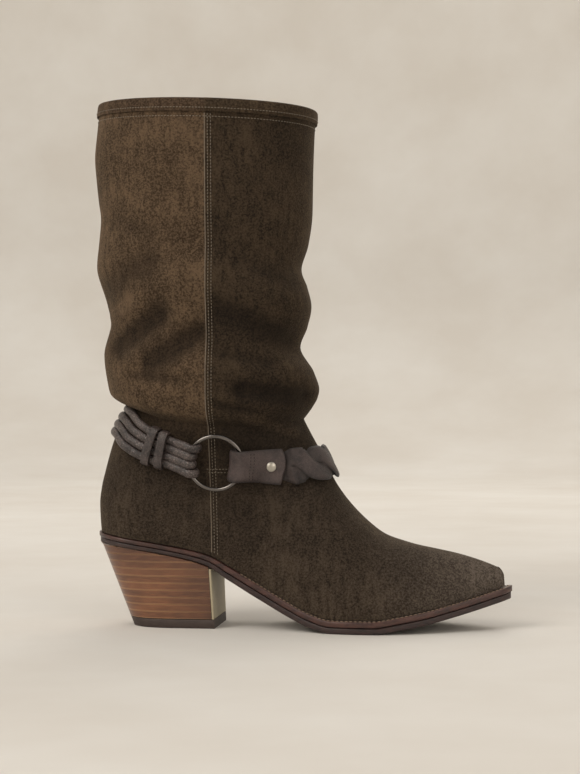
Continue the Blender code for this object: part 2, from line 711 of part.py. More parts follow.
def make_heel(stack, rubber, cover):
    """The rubber top piece on the floor, the stacked lifts over it, and the cover of the
    breast."""
    bottom, top = lift_layer(0.0, TOP_PIECE_THICKNESS, 0.0)
    slab("top_piece", bottom, top, rubber)
    set_back = BREAST_THICKNESS + CLEARANCE
    low = TOP_PIECE_THICKNESS + CLEARANCE
    number = 1
    while low + LIFT_THICKNESS / 2 < HEEL_TOP_HEIGHT:
        high = low + LIFT_THICKNESS - CLEARANCE
        bottom, top = lift_layer(low, high, set_back)
        slab(f"heel_lift_{number:02d}", bottom, top, stack)
        low += LIFT_THICKNESS
        number += 1
    low = TOP_PIECE_THICKNESS + CLEARANCE
    high = heel_under(HEEL_TOP_BREAST) - CLEARANCE
    corners = []
    for height in (low, high):
        front = heel_loop(height, 0.0)[10]
        rear = heel_loop(height, BREAST_THICKNESS)[10]
        corners.append([(front[0], front[1], height), (front[0], -front[1], height),
                        (rear[0], -rear[1], height), (rear[0], rear[1], height)])
    tube("heel_breast", np.array(corners), cover)


def ring_frame():
    """The ring's centre and its directions forward, up and out. It lies off the skin by what
    loops round it."""
    point, out, along, upward = on_harness(np.array([turn_at(RING_PLACE, True)]), 0.0)
    lift = RING_WIRE / 2 + CLEARANCE + max(CORD_THICKNESS, TAB_THICKNESS) + HARNESS_CLEARANCE
    return point[0] + out[0] * lift, along[0], upward[0], out[0], lift


def make_ring(frame, finish):
    """A round wire bent to a ring."""
    centre, forward, upward, out, _ = frame
    around = np.linspace(0, 2 * math.pi, 28, endpoint=False)[:, None, None]
    wire = np.linspace(0, 2 * math.pi, 8, endpoint=False)[None, :, None]
    reach = RING_RADIUS + RING_WIRE / 2 * np.cos(wire)
    rings = (centre + forward * reach * np.cos(around) + upward * reach * np.sin(around)
             + out * RING_WIRE / 2 * np.sin(wire))
    return solid("ring", rings, grid_faces(28, 8, closed_rows=True), finish)


def loop_round_wire(frame, height, side, thickness, width):
    """Middle points and normals of a strip bent round the ring's wire at a height over its
    centre, from behind the wire through the ring's hole to its front. The side is -1 for the
    back of the ring. Also the wire's middle there."""
    centre, forward, upward, out, _ = frame
    reach = side * math.sqrt(RING_RADIUS ** 2 - height ** 2)
    wire = centre + forward * reach + upward * height
    slant = math.asin(height / RING_RADIUS)
    radius = (RING_WIRE / 2 / math.cos(slant) + width / 4 * abs(math.tan(slant))
              + 2 * CLEARANCE + thickness / 2)
    bend = np.radians([75, 32, -11, -54, -97])[:, None]
    normal = -side * np.cos(bend) * forward - np.sin(bend) * out
    return wire + radius * normal, normal, wire


def strip_from_ring(frame, across, start_height, side, thickness, width, turns):
    """Middle line of a strip that starts round the ring's wire and then lies on the skin."""
    point, normal, _, _ = on_harness(turns, across)
    bend, bend_normal, wire = loop_round_wire(frame, start_height, side, thickness, width)
    away = np.linalg.norm(point - wire, axis=1)
    full = frame[4] + RING_WIRE / 2 + 3 * CLEARANCE - HARNESS_CLEARANCE
    lift = full * ease(1.1 - away / RING_RADIUS)
    lie = HARNESS_CLEARANCE + thickness / 2 + lift
    middle = np.concatenate([bend, point + normal * lie[:, None]])
    return middle, np.concatenate([bend_normal, normal])


def section_frames(middle, normal):
    """Normals made square to the line, and the direction across it."""
    along = np.gradient(middle, axis=0)
    along /= np.linalg.norm(along, axis=1, keepdims=True)
    normal = normal - along * np.sum(normal * along, axis=1, keepdims=True)
    normal /= np.linalg.norm(normal, axis=1, keepdims=True)
    return normal, np.cross(along, normal)


def make_cords(frame, finish):
    """Rolled cords side by side, each looped round the ring's wire and laid round the heel to
    the tab on the inner side."""
    first = turn_at(RING_PLACE - RING_RADIUS - LOOP_REACH, True)
    last = turn_at(RING_PLACE - RING_RADIUS, False)
    turns = np.linspace(first, last - 2 * math.pi, 19)
    around = np.linspace(0, 2 * math.pi, 6, endpoint=False)
    pitch = cord_pitch(turns)
    for number in range(CORD_COUNT):
        step = (CORD_COUNT - 1) / 2 - number
        middle, normal = strip_from_ring(frame, step * pitch, step * pitch[0], -1,
                                         CORD_THICKNESS, CORD_WIDTH, turns)
        normal, sideways = section_frames(middle, normal)
        ring = (normal[:, None] * (CORD_THICKNESS / 2 * np.sin(around))[None, :, None]
                + sideways[:, None] * (CORD_WIDTH / 2 * np.cos(around))[None, :, None])
        tube(f"cord_{number + 1}", middle[:, None] + ring, finish)


def make_keepers(finish):
    """Leather loops that bundle the cords: over them, and down to the skin at both edges."""
    for number, place in enumerate(KEEPER_PLACES, 1):
        middle = turn_at(place, True)
        point, _ = harness_line(np.array([middle - 0.05, middle + 0.05]))
        half = KEEPER_LENGTH / 2 * 0.1 / np.linalg.norm(point[1] - point[0])
        turns = np.array([middle - half, middle + half])
        reach = (CORD_COUNT - 1) / 2 * cord_pitch(turns[:1])[0] + CORD_WIDTH / 2 + CLEARANCE
        low = HARNESS_CLEARANCE
        over = HARNESS_CLEARANCE + CORD_THICKNESS + 2 * CLEARANCE
        wide = reach + KEEPER_THICKNESS
        inner = [(-reach, low), (-reach, over), (0, over), (reach, over), (reach, low)]
        outer = [(wide, low), (wide, over + KEEPER_THICKNESS / 2),
                 (reach, over + KEEPER_THICKNESS), (0, over + KEEPER_THICKNESS),
                 (-reach, over + KEEPER_THICKNESS), (-wide, over + KEEPER_THICKNESS / 2),
                 (-wide, low)]
        rings = []
        for across, depth in inner + outer:
            spot, normal, _, _ = on_harness(turns, across)
            rings.append(spot + normal * depth)
        tube(f"keeper_{number}", np.stack(rings, axis=1), finish)


def strap_grid(strips):
    """Rows along a strap and columns across it, from its strips' middle lines."""
    return (np.stack([middle for middle, _ in strips], axis=1),
            np.stack([normal for _, normal in strips], axis=1))


def make_tabs(frame, finish, steel):
    """The tab that folds round the ring and carries the rivet, and the plain one inside."""
    heights = np.linspace(-TAB_WIDTH / 2, TAB_WIDTH / 2, 5)
    first = turn_at(RING_PLACE + RING_RADIUS + LOOP_REACH, True)
    turns = np.linspace(first, turn_at(TAB_END, True), 8)
    strips = [strip_from_ring(frame, h, h, 1, TAB_THICKNESS, CORD_WIDTH, turns) for h in heights]
    middle, normal = strap_grid(strips)
    sheet("ring_tab", middle, normal, np.full(middle.shape[:2], TAB_THICKNESS), finish)

    point, out, along, upward = on_harness(np.array([turn_at(RIVET_PLACE, True)]), 0.0)
    head = point[0] + out[0] * (HARNESS_CLEARANCE + TAB_THICKNESS + 2 * CLEARANCE)
    around = np.linspace(0, 2 * math.pi, 16, endpoint=False)[:, None]
    circle = along[0] * np.cos(around) + upward[0] * np.sin(around)
    rings = [head + out[0] * RIVET_HEIGHT * rise + circle * RIVET_DIAMETER / 2 * reach
             for reach, rise in ((1.0, 0.0), (1.0, 0.4), (0.8, 0.8), (0.35, 1.0))]
    tube("rivet", np.array(rings), steel)

    turns = np.linspace(turn_at(RING_PLACE - RING_RADIUS + 3 * CLEARANCE, False),
                        turn_at(TAB_END, False), 12)
    strips = []
    for h in heights:
        point, normal, _, _ = on_harness(turns, h)
        strips.append((point + normal * (HARNESS_CLEARANCE + TAB_THICKNESS / 2), normal))
    middle, normal = strap_grid(strips)
    sheet("inner_tab", middle, normal, np.full(middle.shape[:2], TAB_THICKNESS), finish)


def make_braid(finish):
    """The three-strand braid across the instep, one wall whose strands are raised: each strand
    weaves from edge to edge and comes up over its neighbour."""
    first = turn_at(TAB_END + 3 * CLEARANCE, True)
    last = turn_at(TAB_END + 3 * CLEARANCE, False)
    turns = np.linspace(first, last, 28)
    middle_line, _ = harness_line(turns)
    run = np.concatenate([[0], np.cumsum(np.linalg.norm(np.diff(middle_line, axis=0), axis=1))])
    angles = (2 * math.pi * run / (3 * BRAID_PITCH)
              + np.arange(3)[:, None] * 2 * math.pi / 3)
    strand_half = BRAID_WIDTH * STRAND_SHARE / 2
    strand_middle = (BRAID_WIDTH / 2 - strand_half) * np.sin(angles)
    low = strand_middle.min(axis=0) - strand_half
    high = strand_middle.max(axis=0) + strand_half
    strips = []
    raised = []
    for share in np.linspace(0, 1, 10):
        across = low + (high - low) * share
        strips.append(on_harness(turns, across)[:2])
        away = (across - strand_middle) / strand_half
        crown = np.clip(1 - away ** 2, 0, 1) * (0.62 + 0.38 * np.sin(2 * angles))
        raised.append(crown.max(axis=0))
    point, normal = strap_grid(strips)
    thickness = BRAID_BASE + BRAID_RELIEF * np.stack(raised, axis=1)
    middle = point + normal * (HARNESS_CLEARANCE + thickness / 2)[..., None]
    sheet("braid", middle, normal, thickness, finish)


for old in list(bpy.data.objects):
    bpy.data.objects.remove(old, do_unlink=True)

suede = material("suede", (0.075, 0.055, 0.040), 0.9)
suede_edge = material("suede_binding", (0.060, 0.044, 0.032), 0.9)
welt_leather = material("welt_leather", (0.085, 0.035, 0.028), 0.45)
sole_leather = material("sole_leather", (0.030, 0.020, 0.020), 0.5)
lining = material("insole_leather", (0.35, 0.24, 0.15), 0.7)
stack_leather = material("stacked_leather", (0.26, 0.11, 0.05), 0.4)
heel_rubber = material("heel_rubber", (0.06, 0.045, 0.04), 0.7)
breast_leather = material("breast_leather", (0.36, 0.31, 0.21), 0.6)
strap_leather = material("strap_leather", (0.075, 0.055, 0.055), 0.5)
gunmetal = material("gunmetal", (0.25, 0.24, 0.23), 0.25, 1.0)
nickel = material("nickel", (0.5, 0.47, 0.42), 0.3, 1.0)

outer_face = upper_grid()
make_upper(outer_face, suede)
make_binding(outer_face, suede_edge)
make_sole(welt_leather, sole_leather, lining)
make_heel(stack_leather, heel_rubber, breast_leather)
ring_place = ring_frame()
make_ring(ring_place, gunmetal)
make_cords(ring_place, strap_leather)
make_keepers(strap_leather)
make_tabs(ring_place, strap_leather, nickel)
make_braid(strap_leather)
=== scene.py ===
import math

import bmesh
import bpy
import numpy as np
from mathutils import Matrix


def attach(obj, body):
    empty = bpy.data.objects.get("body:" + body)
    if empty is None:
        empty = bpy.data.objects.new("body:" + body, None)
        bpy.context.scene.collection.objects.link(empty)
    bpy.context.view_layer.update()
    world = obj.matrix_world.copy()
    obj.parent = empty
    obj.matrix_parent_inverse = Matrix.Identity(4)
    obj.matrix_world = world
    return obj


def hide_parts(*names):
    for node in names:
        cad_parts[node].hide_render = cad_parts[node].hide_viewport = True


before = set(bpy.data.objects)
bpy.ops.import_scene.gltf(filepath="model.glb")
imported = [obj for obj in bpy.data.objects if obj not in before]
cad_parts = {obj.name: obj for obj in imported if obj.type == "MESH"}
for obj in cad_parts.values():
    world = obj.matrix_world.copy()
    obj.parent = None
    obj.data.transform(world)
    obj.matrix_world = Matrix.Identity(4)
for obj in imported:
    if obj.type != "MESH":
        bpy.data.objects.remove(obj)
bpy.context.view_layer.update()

# Studio: a pale plaster dish that rises all round the boot, a large soft window of light from
# the upper left, weak ones from the right and the back, one on the wall behind, and a camera
# level with the middle of the boot.
MM = 0.001
scene = bpy.context.scene


def linear(hex_colour):
    """An sRGB hex colour as linear light with alpha."""
    parts = [int(hex_colour[i:i + 2], 16) / 255 for i in (1, 3, 5)]
    return (*[c / 12.92 if c < 0.04045 else ((c + 0.055) / 1.055) ** 2.4 for c in parts], 1.0)


def per(size_mm):
    """The pattern scale that gives features of a size in millimetres."""
    return 1 / (size_mm * MM)


def add(material, kind, inputs, **settings):
    """One node of a material with its settings; an input is a value or another node's output."""
    made = material.node_tree.nodes.new(kind)
    for name, value in settings.items():
        setattr(made, name, value)
    for socket, value in inputs.items():
        if isinstance(value, bpy.types.NodeSocket):
            material.node_tree.links.new(value, made.inputs[socket])
        else:
            made.inputs[socket].default_value = value
    return made


def new_material(name, **sockets):
    """A material and its shader, with plain values set on the shader's own sockets."""
    material = bpy.data.materials.new(name)
    material.use_nodes = True
    shader = material.node_tree.nodes["Principled BSDF"]
    for socket, value in sockets.items():
        shader.inputs[socket.replace("_", " ")].default_value = value
    return material, shader


def link(material, output, shader, socket):
    """Joins a node's output to one of the shader's sockets."""
    material.node_tree.links.new(output, shader.inputs[socket])


def blend(material, factor, first, second):
    """A colour between two others; each is a hex colour or a node's output."""
    values = {0: factor}
    for socket, colour in ((6, first), (7, second)):
        values[socket] = linear(colour) if isinstance(colour, str) else colour
    return add(material, "ShaderNodeMix", values, data_type="RGBA").outputs[2]


def remap(material, value, low, high, new_low=0.0, new_high=1.0):
    """A value stretched from one range to another and kept inside it."""
    return add(material, "ShaderNodeMapRange",
               {0: value, 1: low, 2: high, 3: new_low, 4: new_high}).outputs[0]


def noise(material, where, size_mm, detail=2.0, roughness=0.5):
    """A cloudy pattern with features of a size in millimetres."""
    return add(material, "ShaderNodeTexNoise",
               {"Vector": where, "Scale": per(size_mm), "Detail": detail,
                "Roughness": roughness}).outputs[0]


def place(material, stretch=(1, 1, 1)):
    """The object's own coordinates, stretched."""
    spot = add(material, "ShaderNodeTexCoord", {}).outputs["Object"]
    return add(material, "ShaderNodeMapping", {"Vector": spot, "Scale": stretch}).outputs[0]


def relief(material, shader, height, depth_mm, after=None):
    """Small bumps of a real depth on a surface."""
    inputs = {"Height": height, "Distance": depth_mm * MM, "Strength": 1.0}
    if after is not None:
        inputs["Normal"] = after
    normal = add(material, "ShaderNodeBump", inputs).outputs[0]
    link(material, normal, shader, "Normal")
    return normal


DISH_FLAT, DISH_BEND, DISH_TOP = 1.9, 1.1, 3.4
rim = np.linspace(0, math.pi / 2, 24)
profile = np.concatenate([
    [[0.001, 0.0], [0.5, 0.0], [1.2, 0.0]],
    np.stack([DISH_FLAT + DISH_BEND * np.sin(rim), DISH_BEND * (1 - np.cos(rim))], axis=1),
    [[DISH_FLAT + DISH_BEND, DISH_TOP]]])
sweep = np.linspace(0, 2 * math.pi, 96, endpoint=False)
dish_points = np.stack([profile[:, :1] * np.cos(sweep), profile[:, :1] * np.sin(sweep),
                        profile[:, 1:] + 0 * sweep], axis=-1)


def grid_mesh(name, points, join_rows=False, values=None):
    """A mesh over a grid of points whose rows are closed rings. With join_rows the last row
    meets the first. Rows that shrink to a line or a point are welded shut. The values are named
    numbers for each point."""
    rows, columns = points.shape[:2]
    row = np.arange(rows if join_rows else rows - 1)[:, None]
    column = np.arange(columns)[None, :]
    after, beside = (row + 1) % rows, (column + 1) % columns
    faces = np.stack([row * columns + column, row * columns + beside,
                      after * columns + beside, after * columns + column], axis=-1)
    mesh = bpy.data.meshes.new(name)
    mesh.from_pydata(points.reshape(-1, 3).tolist(), [], faces.reshape(-1, 4).tolist())
    for key, value in (values or {}).items():
        stored = mesh.attributes.new(key, "FLOAT", "POINT")
        stored.data.foreach_set("value", np.broadcast_to(value, (rows, columns)).ravel())
    return mesh


dish = bpy.data.objects.new("studio_dish", grid_mesh("studio_dish", dish_points[:, ::-1]))
scene.collection.objects.link(dish)
dish.data.shade_smooth()
plaster, plaster_shader = new_material("painted_plaster", Roughness=0.95,
                                       Specular_IOR_Level=0.1)
wall_clouds = noise(plaster, place(plaster), 260, 4, 0.6)
link(plaster, blend(plaster, remap(plaster, wall_clouds, 0.35, 0.7), "#d9d4cd", "#e2dfda"),
     plaster_shader, "Base Color")
dish.data.materials.append(plaster)

world = bpy.data.worlds.new("studio")
scene.world = world
world.use_nodes = True
world.node_tree.nodes["Background"].inputs[0].default_value = linear("#fffcf8")
world.node_tree.nodes["Background"].inputs[1].default_value = 0.6


def area_light(name, spot, target, size, power, colour):
    """A square soft light at a spot, turned to a target."""
    lamp = bpy.data.lights.new(name, "AREA")
    lamp.size, lamp.energy, lamp.color = size, power, linear(colour)[:3]
    made = bpy.data.objects.new(name, lamp)
    scene.collection.objects.link(made)
    aim = np.array(target) - np.array(spot)
    level = math.hypot(aim[0], aim[1])
    made.location = spot
    made.rotation_euler = (math.atan2(level, -aim[2]), 0, math.atan2(-aim[0], aim[1]))
    return made


area_light("window", (-1.3, -1.5, 1.7), (0.05, 0, 0.15), 1.5, 32, "#fffaf2")
area_light("right_fill", (1.6, -1.3, 0.9), (0.05, 0, 0.15), 1.4, 8.5, "#fffaf2")
area_light("back_fill", (0.2, 1.7, 1.6), (0.05, 0, 0.15), 1.4, 10.5, "#fffaf2")
area_light("wall_wash", (0.2, 1.0, 2.3), (0.1, 3.0, 0.9), 1.4, 10, "#fffaf0")

VIEW_TARGET, VIEW_DISTANCE, VIEW_TURN = (0.076, 0.0, 0.159), 1.2, math.radians(7.5)
VIEW_LENS, VIEW_SENSOR = 111.72, 36.0
lens = bpy.data.cameras.new("camera")
lens.sensor_fit, lens.sensor_width, lens.lens = "HORIZONTAL", VIEW_SENSOR, VIEW_LENS
camera = bpy.data.objects.new("camera", lens)
scene.collection.objects.link(camera)
camera.location = (VIEW_TARGET[0] + VIEW_DISTANCE * math.sin(VIEW_TURN),
                   VIEW_TARGET[1] - VIEW_DISTANCE * math.cos(VIEW_TURN), VIEW_TARGET[2])
camera.rotation_euler = (math.pi / 2, 0, VIEW_TURN)
scene.camera = camera
scene.view_settings.view_transform = "Standard"

# Sole: a stained leather welt strip, stitched down round the forefoot, over a dark leather
# outsole that runs up the arch to the heel seat. Both edges are trimmed, rounded and waxed.
SOLE_LENGTH, BALL_WIDTH = 276 * MM, 87 * MM
HEEL_OVERHANG, HEEL_RISE, TOE_SPRING = 53 * MM, 54 * MM, 20 * MM
WELT_THICKNESS, OUTSOLE_THICKNESS = 3.8 * MM, 4.2 * MM
OUTSOLE_SET_IN, WALL, CLEARANCE, UPPER_CLEARANCE = 0.8 * MM, 2.2 * MM, 0.3 * MM, 0.6 * MM
HEEL_ROUND, TOE_ROUND = 0.105, 0.035
SOLE_FULL = WELT_THICKNESS + CLEARANCE + OUTSOLE_THICKNESS


def table(names, rows):
    """A table with named columns, each an array."""
    return dict(zip(names.split(), np.array(rows, dtype=float).T))


# From heel back (0) to toe tip (1): half width and centre as shares of the ball width, seat as
# shares of heel rise and toe spring, thickness share, and the welt's show beyond the upper
SOLE = table("station half centre rise spring thick show", [
    (0.00, 0.335, 0.000, 1.000, 0.00, 0.72, 0.016),
    (0.10, 0.335, 0.000, 0.924, 0.00, 0.72, 0.016),
    (0.20, 0.322, 0.000, 0.838, 0.00, 0.74, 0.020),
    (0.28, 0.306, -0.004, 0.744, 0.00, 0.86, 0.026),
    (0.33, 0.298, -0.010, 0.610, 0.00, 1.06, 0.030),
    (0.40, 0.303, -0.015, 0.405, 0.00, 1.12, 0.032),
    (0.47, 0.352, -0.012, 0.208, 0.00, 1.10, 0.034),
    (0.53, 0.415, -0.006, 0.064, 0.00, 1.04, 0.035),
    (0.58, 0.462, 0.002, 0.000, 0.00, 1.00, 0.035),
    (0.64, 0.498, 0.012, 0.000, 0.00, 1.00, 0.036),
    (0.68, 0.500, 0.016, 0.000, 0.00, 1.00, 0.037),
    (0.74, 0.474, 0.022, 0.000, 0.13, 1.00, 0.039),
    (0.80, 0.412, 0.028, 0.000, 0.28, 1.00, 0.042),
    (0.86, 0.324, 0.034, 0.000, 0.48, 1.00, 0.045),
    (0.92, 0.222, 0.040, 0.000, 0.70, 1.00, 0.050),
    (0.96, 0.148, 0.043, 0.000, 0.86, 1.00, 0.054),
    (1.00, 0.092, 0.046, 0.000, 1.02, 1.00, 0.056),
])


def curve(rows, key, column, at):
    """A smooth curve through a table's rows that never overshoots between two of them: cubic
    pieces whose slopes at the rows are the harmonic means of their neighbours'."""
    x, y = rows[key], rows[column]
    width = np.diff(x)
    slope = np.diff(y) / width
    inner = np.where(slope[1:] * slope[:-1] > 0,
                     2 * slope[1:] * slope[:-1] / (slope[1:] + slope[:-1] + 1e-12), 0.0)
    tangent = np.concatenate([slope[:1], inner, slope[-1:]])
    at = np.clip(at, x[0], x[-1])
    i = np.clip(np.searchsorted(x, at, side="right") - 1, 0, len(width) - 1)
    t = (at - x[i]) / width[i]
    return (y[i] * (1 + 2 * t) * (1 - t) ** 2 + y[i + 1] * t * t * (3 - 2 * t)
            + width[i] * (tangent[i] * t * (1 - t) ** 2 - tangent[i + 1] * t * t * (1 - t)))


def ease(t):
    """A smooth step from 0 to 1."""
    t = np.clip(t, 0.0, 1.0)
    return t * t * (3 - 2 * t)


def unit(vectors):
    """Vectors scaled to a length of 1."""
    return vectors / np.maximum(np.linalg.norm(vectors, axis=-1, keepdims=True), 1e-12)


def sole_curve(column, x):
    """A column of the sole's table at a place along the boot."""
    return curve(SOLE, "station", column, (x + HEEL_OVERHANG) / SOLE_LENGTH)


def seat(x):
    """Height of the welt's top, on which the upper sits."""
    return SOLE_FULL + HEEL_RISE * sole_curve("rise", x) + TOE_SPRING * sole_curve("spring", x)


def sole_outline(inset, steps):
    """The sole's outline from heel to toe on both sides, moved inward square to itself."""
    turn = np.linspace(0, math.pi, steps + 1)
    station = (1 - np.cos(turn)) / 2
    half = BALL_WIDTH * curve(SOLE, "station", "half", station)
    half = half * np.sqrt(1 - np.clip(1 - station / HEEL_ROUND, 0, 1) ** 2)
    half = half * np.sqrt(1 - np.clip(1 - (1 - station) / TOE_ROUND, 0, 1) ** 2)
    middle = BALL_WIDTH * curve(SOLE, "station", "centre", station)
    x = SOLE_LENGTH * station - HEEL_OVERHANG
    loop = np.stack([np.concatenate([x, x[-2:0:-1]]),
                     np.concatenate([middle - half, (middle + half)[-2:0:-1]])], axis=1)
    along = np.roll(loop, -1, axis=0) - np.roll(loop, 1, axis=0)
    outward = unit(np.stack([along[:, 1], -along[:, 0]], axis=1))
    return loop - outward * inset(loop[:, 0])[:, None]


def edge_line(loop, steps, x):
    """Middle line and half width of an outline at a place along the boot."""
    inner = np.concatenate([loop[steps:], loop[:1]])[::-1]
    low = np.interp(x, loop[:steps + 1, 0], loop[:steps + 1, 1])
    high = np.interp(x, inner[:, 0], inner[:, 1])
    return (low + high) / 2, (high - low) / 2


WELD_DISTANCE, SHARP_ANGLE = 2e-6, math.radians(40)


def finish(name, mesh, material, nodes=()):
    """A finished piece: doubles welded, faces outward, smooth, riding on the boot."""
    shell = bmesh.new()
    shell.from_mesh(mesh)
    bmesh.ops.remove_doubles(shell, verts=shell.verts, dist=WELD_DISTANCE)
    if shell.calc_volume(signed=True) < 0:
        bmesh.ops.reverse_faces(shell, faces=shell.faces)
    shell.to_mesh(mesh)
    shell.free()
    mesh.shade_smooth()
    mesh.set_sharp_from_angle(angle=SHARP_ANGLE)
    mesh.materials.append(material)
    made = bpy.data.objects.new(name, mesh)
    scene.collection.objects.link(made)
    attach(made, "root")
    if nodes:
        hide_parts(*nodes)


def piece(name, points, material, slot, nodes=(), **grid):
    """A finished piece whose mesh lies over a grid of points."""
    finish(name, grid_mesh(name, points, **grid), material, nodes)


def mottled(name, dark, light, patch_mm, detail, clip=(0, 1), stretch=(1, 1, 1), grain=None,
            **sockets):
    """A material clouded between two colours in patches of a size in millimetres. The grain
    is the size, detail and depth of small bumps; the other values go to the shader."""
    material, shader = new_material(name, **sockets)
    spot = place(material, stretch)
    tone = remap(material, noise(material, spot, patch_mm, detail), *clip)
    link(material, blend(material, tone, dark, light), shader, "Base Color")
    if grain:
        relief(material, shader, noise(material, spot, *grain[:2]), grain[2])
    return material


def dress(node, material):
    """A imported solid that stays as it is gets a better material."""
    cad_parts[node].data.materials.clear()
    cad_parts[node].data.materials.append(material)


def layer_points(loop, top, bottom, round_off, arc=5):
    """A layer cut to an outline: each ring of points is the outline drawn in toward the middle
    line. The rings run over the top, round a rounded edge and back below."""
    steps = len(loop) // 2
    middle, half = edge_line(loop, steps, loop[:, 0])
    bend = np.linspace(0, math.pi / 2, arc)
    in_by = round_off * (1 - np.sin(bend))
    down_by = round_off * (1 - np.cos(bend))
    flat = np.array([1e3, 1.0, 0.3]) * 10 * MM
    inward = np.concatenate([flat + round_off, in_by, in_by[::-1], flat[::-1] + round_off])
    drop = np.concatenate([0 * flat, down_by, -down_by[::-1], 0 * flat])
    upper_half = (np.arange(len(inward)) < len(inward) // 2)[:, None]
    share = np.clip(1 - inward[:, None] / np.maximum(half, 1e-6), 0, 1)
    y = middle + (loop[:, 1] - middle) * share
    height = np.where(upper_half, top(loop[:, 0]), bottom(loop[:, 0])) - drop[:, None]
    return np.stack([loop[:, 0] + 0 * y, y, height], axis=-1)


SOLE_STEPS = 220


def layer(x, depth):
    """Height of a face of the sole that lies a full depth below the seat."""
    return seat(x) - depth * sole_curve("thick", x)


WELT_EDGE, OUTSOLE_EDGE = 0.9 * MM, 1.1 * MM
welt_leather = mottled("stained_welt_leather", "#2a1815", "#55352d", 9, 3, (0.3, 0.75),
                       (1, 1, 2.2), (0.7, 2, 0.12), Roughness=0.42, Coat_Weight=0.15)
sole_leather = mottled("dark_sole_leather", "#231918", "#3f2b28", 6, 3, (0.3, 0.75), (1, 1, 3),
                       (0.8, 2, 0.1), Roughness=0.5)
insole_leather = mottled("vegetable_tanned_insole", "#8a6a4b", "#a98762", 14, 4,
                         grain=(0.9, 3, 0.1), Roughness=0.65)
piece("welt_strip",
      layer_points(sole_outline(lambda x: 0 * x, SOLE_STEPS), seat,
                   lambda x: layer(x, WELT_THICKNESS), WELT_EDGE),
      welt_leather, "welt_leather", ["welt"])
piece("leather_outsole",
      layer_points(sole_outline(lambda x: OUTSOLE_SET_IN + 0 * x, SOLE_STEPS),
                   lambda x: layer(x, WELT_THICKNESS + CLEARANCE),
                   lambda x: layer(x, SOLE_FULL), OUTSOLE_EDGE),
      sole_leather, "sole_leather", ["outsole"])
dress("insole", insole_leather)

# Heel: a stack of leather lifts glued and nailed under the seat, sanded to one raked block,
# stained and burnished so that each lift's edge shows, over a dark rubber top piece. A pale
# leather flap covers the front of the stack.
TOP_PIECE_THICKNESS, LIFT_THICKNESS, BREAST_THICKNESS = 6.0 * MM, 4.7 * MM, 1.2 * MM
HEEL_BASE_LENGTH, HEEL_BASE_WIDTH, HEEL_TOP_WIDTH = 58 * MM, 47 * MM, 55 * MM
HEEL_TOP_BREAST, HEEL_SET_IN, HEEL_STEPS = 26 * MM, 1.0 * MM, 60
HEEL_SQUARENESS, HEEL_ROUND_SHARE, HEEL_CROWDING, EDGE_DRAW_IN = 2.3, 0.5, 1.7, 0.018
LIFT_GAP, LIFT_EDGE, TOP_PIECE_EDGE = 0.03 * MM, 0.12 * MM, 0.6 * MM
HEEL_BASE_BACK = -HEEL_BASE_LENGTH / 2
HEEL_TOP_BACK = -HEEL_OVERHANG + HEEL_SET_IN + OUTSOLE_SET_IN


def heel_under(x):
    """Height of the heel stack's sloping top, under the outsole."""
    return layer(x, SOLE_FULL) - CLEARANCE


HEEL_TOP_HEIGHT = heel_under(HEEL_TOP_BACK)


def heel_loop(height, end):
    """The heel's D-shaped section at each height: round at the back, flat at the breast."""
    share = height / HEEL_TOP_HEIGHT
    back = HEEL_BASE_BACK + (HEEL_TOP_BACK - HEEL_BASE_BACK) * share
    front = -HEEL_BASE_BACK + (HEEL_TOP_BREAST + HEEL_BASE_BACK) * share - end
    half = (HEEL_BASE_WIDTH + (HEEL_TOP_WIDTH - HEEL_BASE_WIDTH) * share) / 2
    t = np.linspace(0, 1, HEEL_STEPS + 1) ** HEEL_CROWDING
    to_side = 1 - np.minimum(t / HEEL_ROUND_SHARE, 1)
    round_part = (1 - to_side ** HEEL_SQUARENESS) ** (1 / HEEL_SQUARENESS)
    t = np.concatenate([t, t[::-1]])
    y = np.concatenate([-round_part, round_part[::-1]])
    return back + (front - back) * t, half * y


def lift_points(low, high, end, round_off):
    """One layer of the heel, cut by the sloping sole: its sections from the middle of its top
    over the edge, slightly rounded, to the middle of its underside."""
    edge = np.array([0, 0.35, 1.0])
    rise = np.concatenate([[1, 1], 1 - round_off * edge / (high - low),
                           round_off * edge[::-1] / (high - low), [0, 0]])
    drawn = 1 - (1 - edge) * EDGE_DRAW_IN
    tight = np.concatenate([[0, 0.9], drawn, drawn[::-1], [0.9, 0]])
    x, y = heel_loop((low + (high - low) * rise)[:, None], end)
    reach_x, _ = heel_loop(low, end)
    cut = heel_under(x)
    z = low + (np.minimum(high, cut) - low) * rise[:, None]
    fit = low + round_off * 2 < cut
    tip = np.where(fit, x, -1).max(axis=1, keepdims=True)
    x = np.where(fit, x, np.maximum(tip, reach_x.min()))
    return np.stack([x, y * tight[:, None], np.maximum(z, low)], axis=-1)


STACK_BASE = TOP_PIECE_THICKNESS + CLEARANCE


def combine(material, operation, *values):
    """The result of arithmetic on values or on nodes' outputs."""
    return add(material, "ShaderNodeMath", dict(enumerate(values)),
               operation=operation).outputs[0]


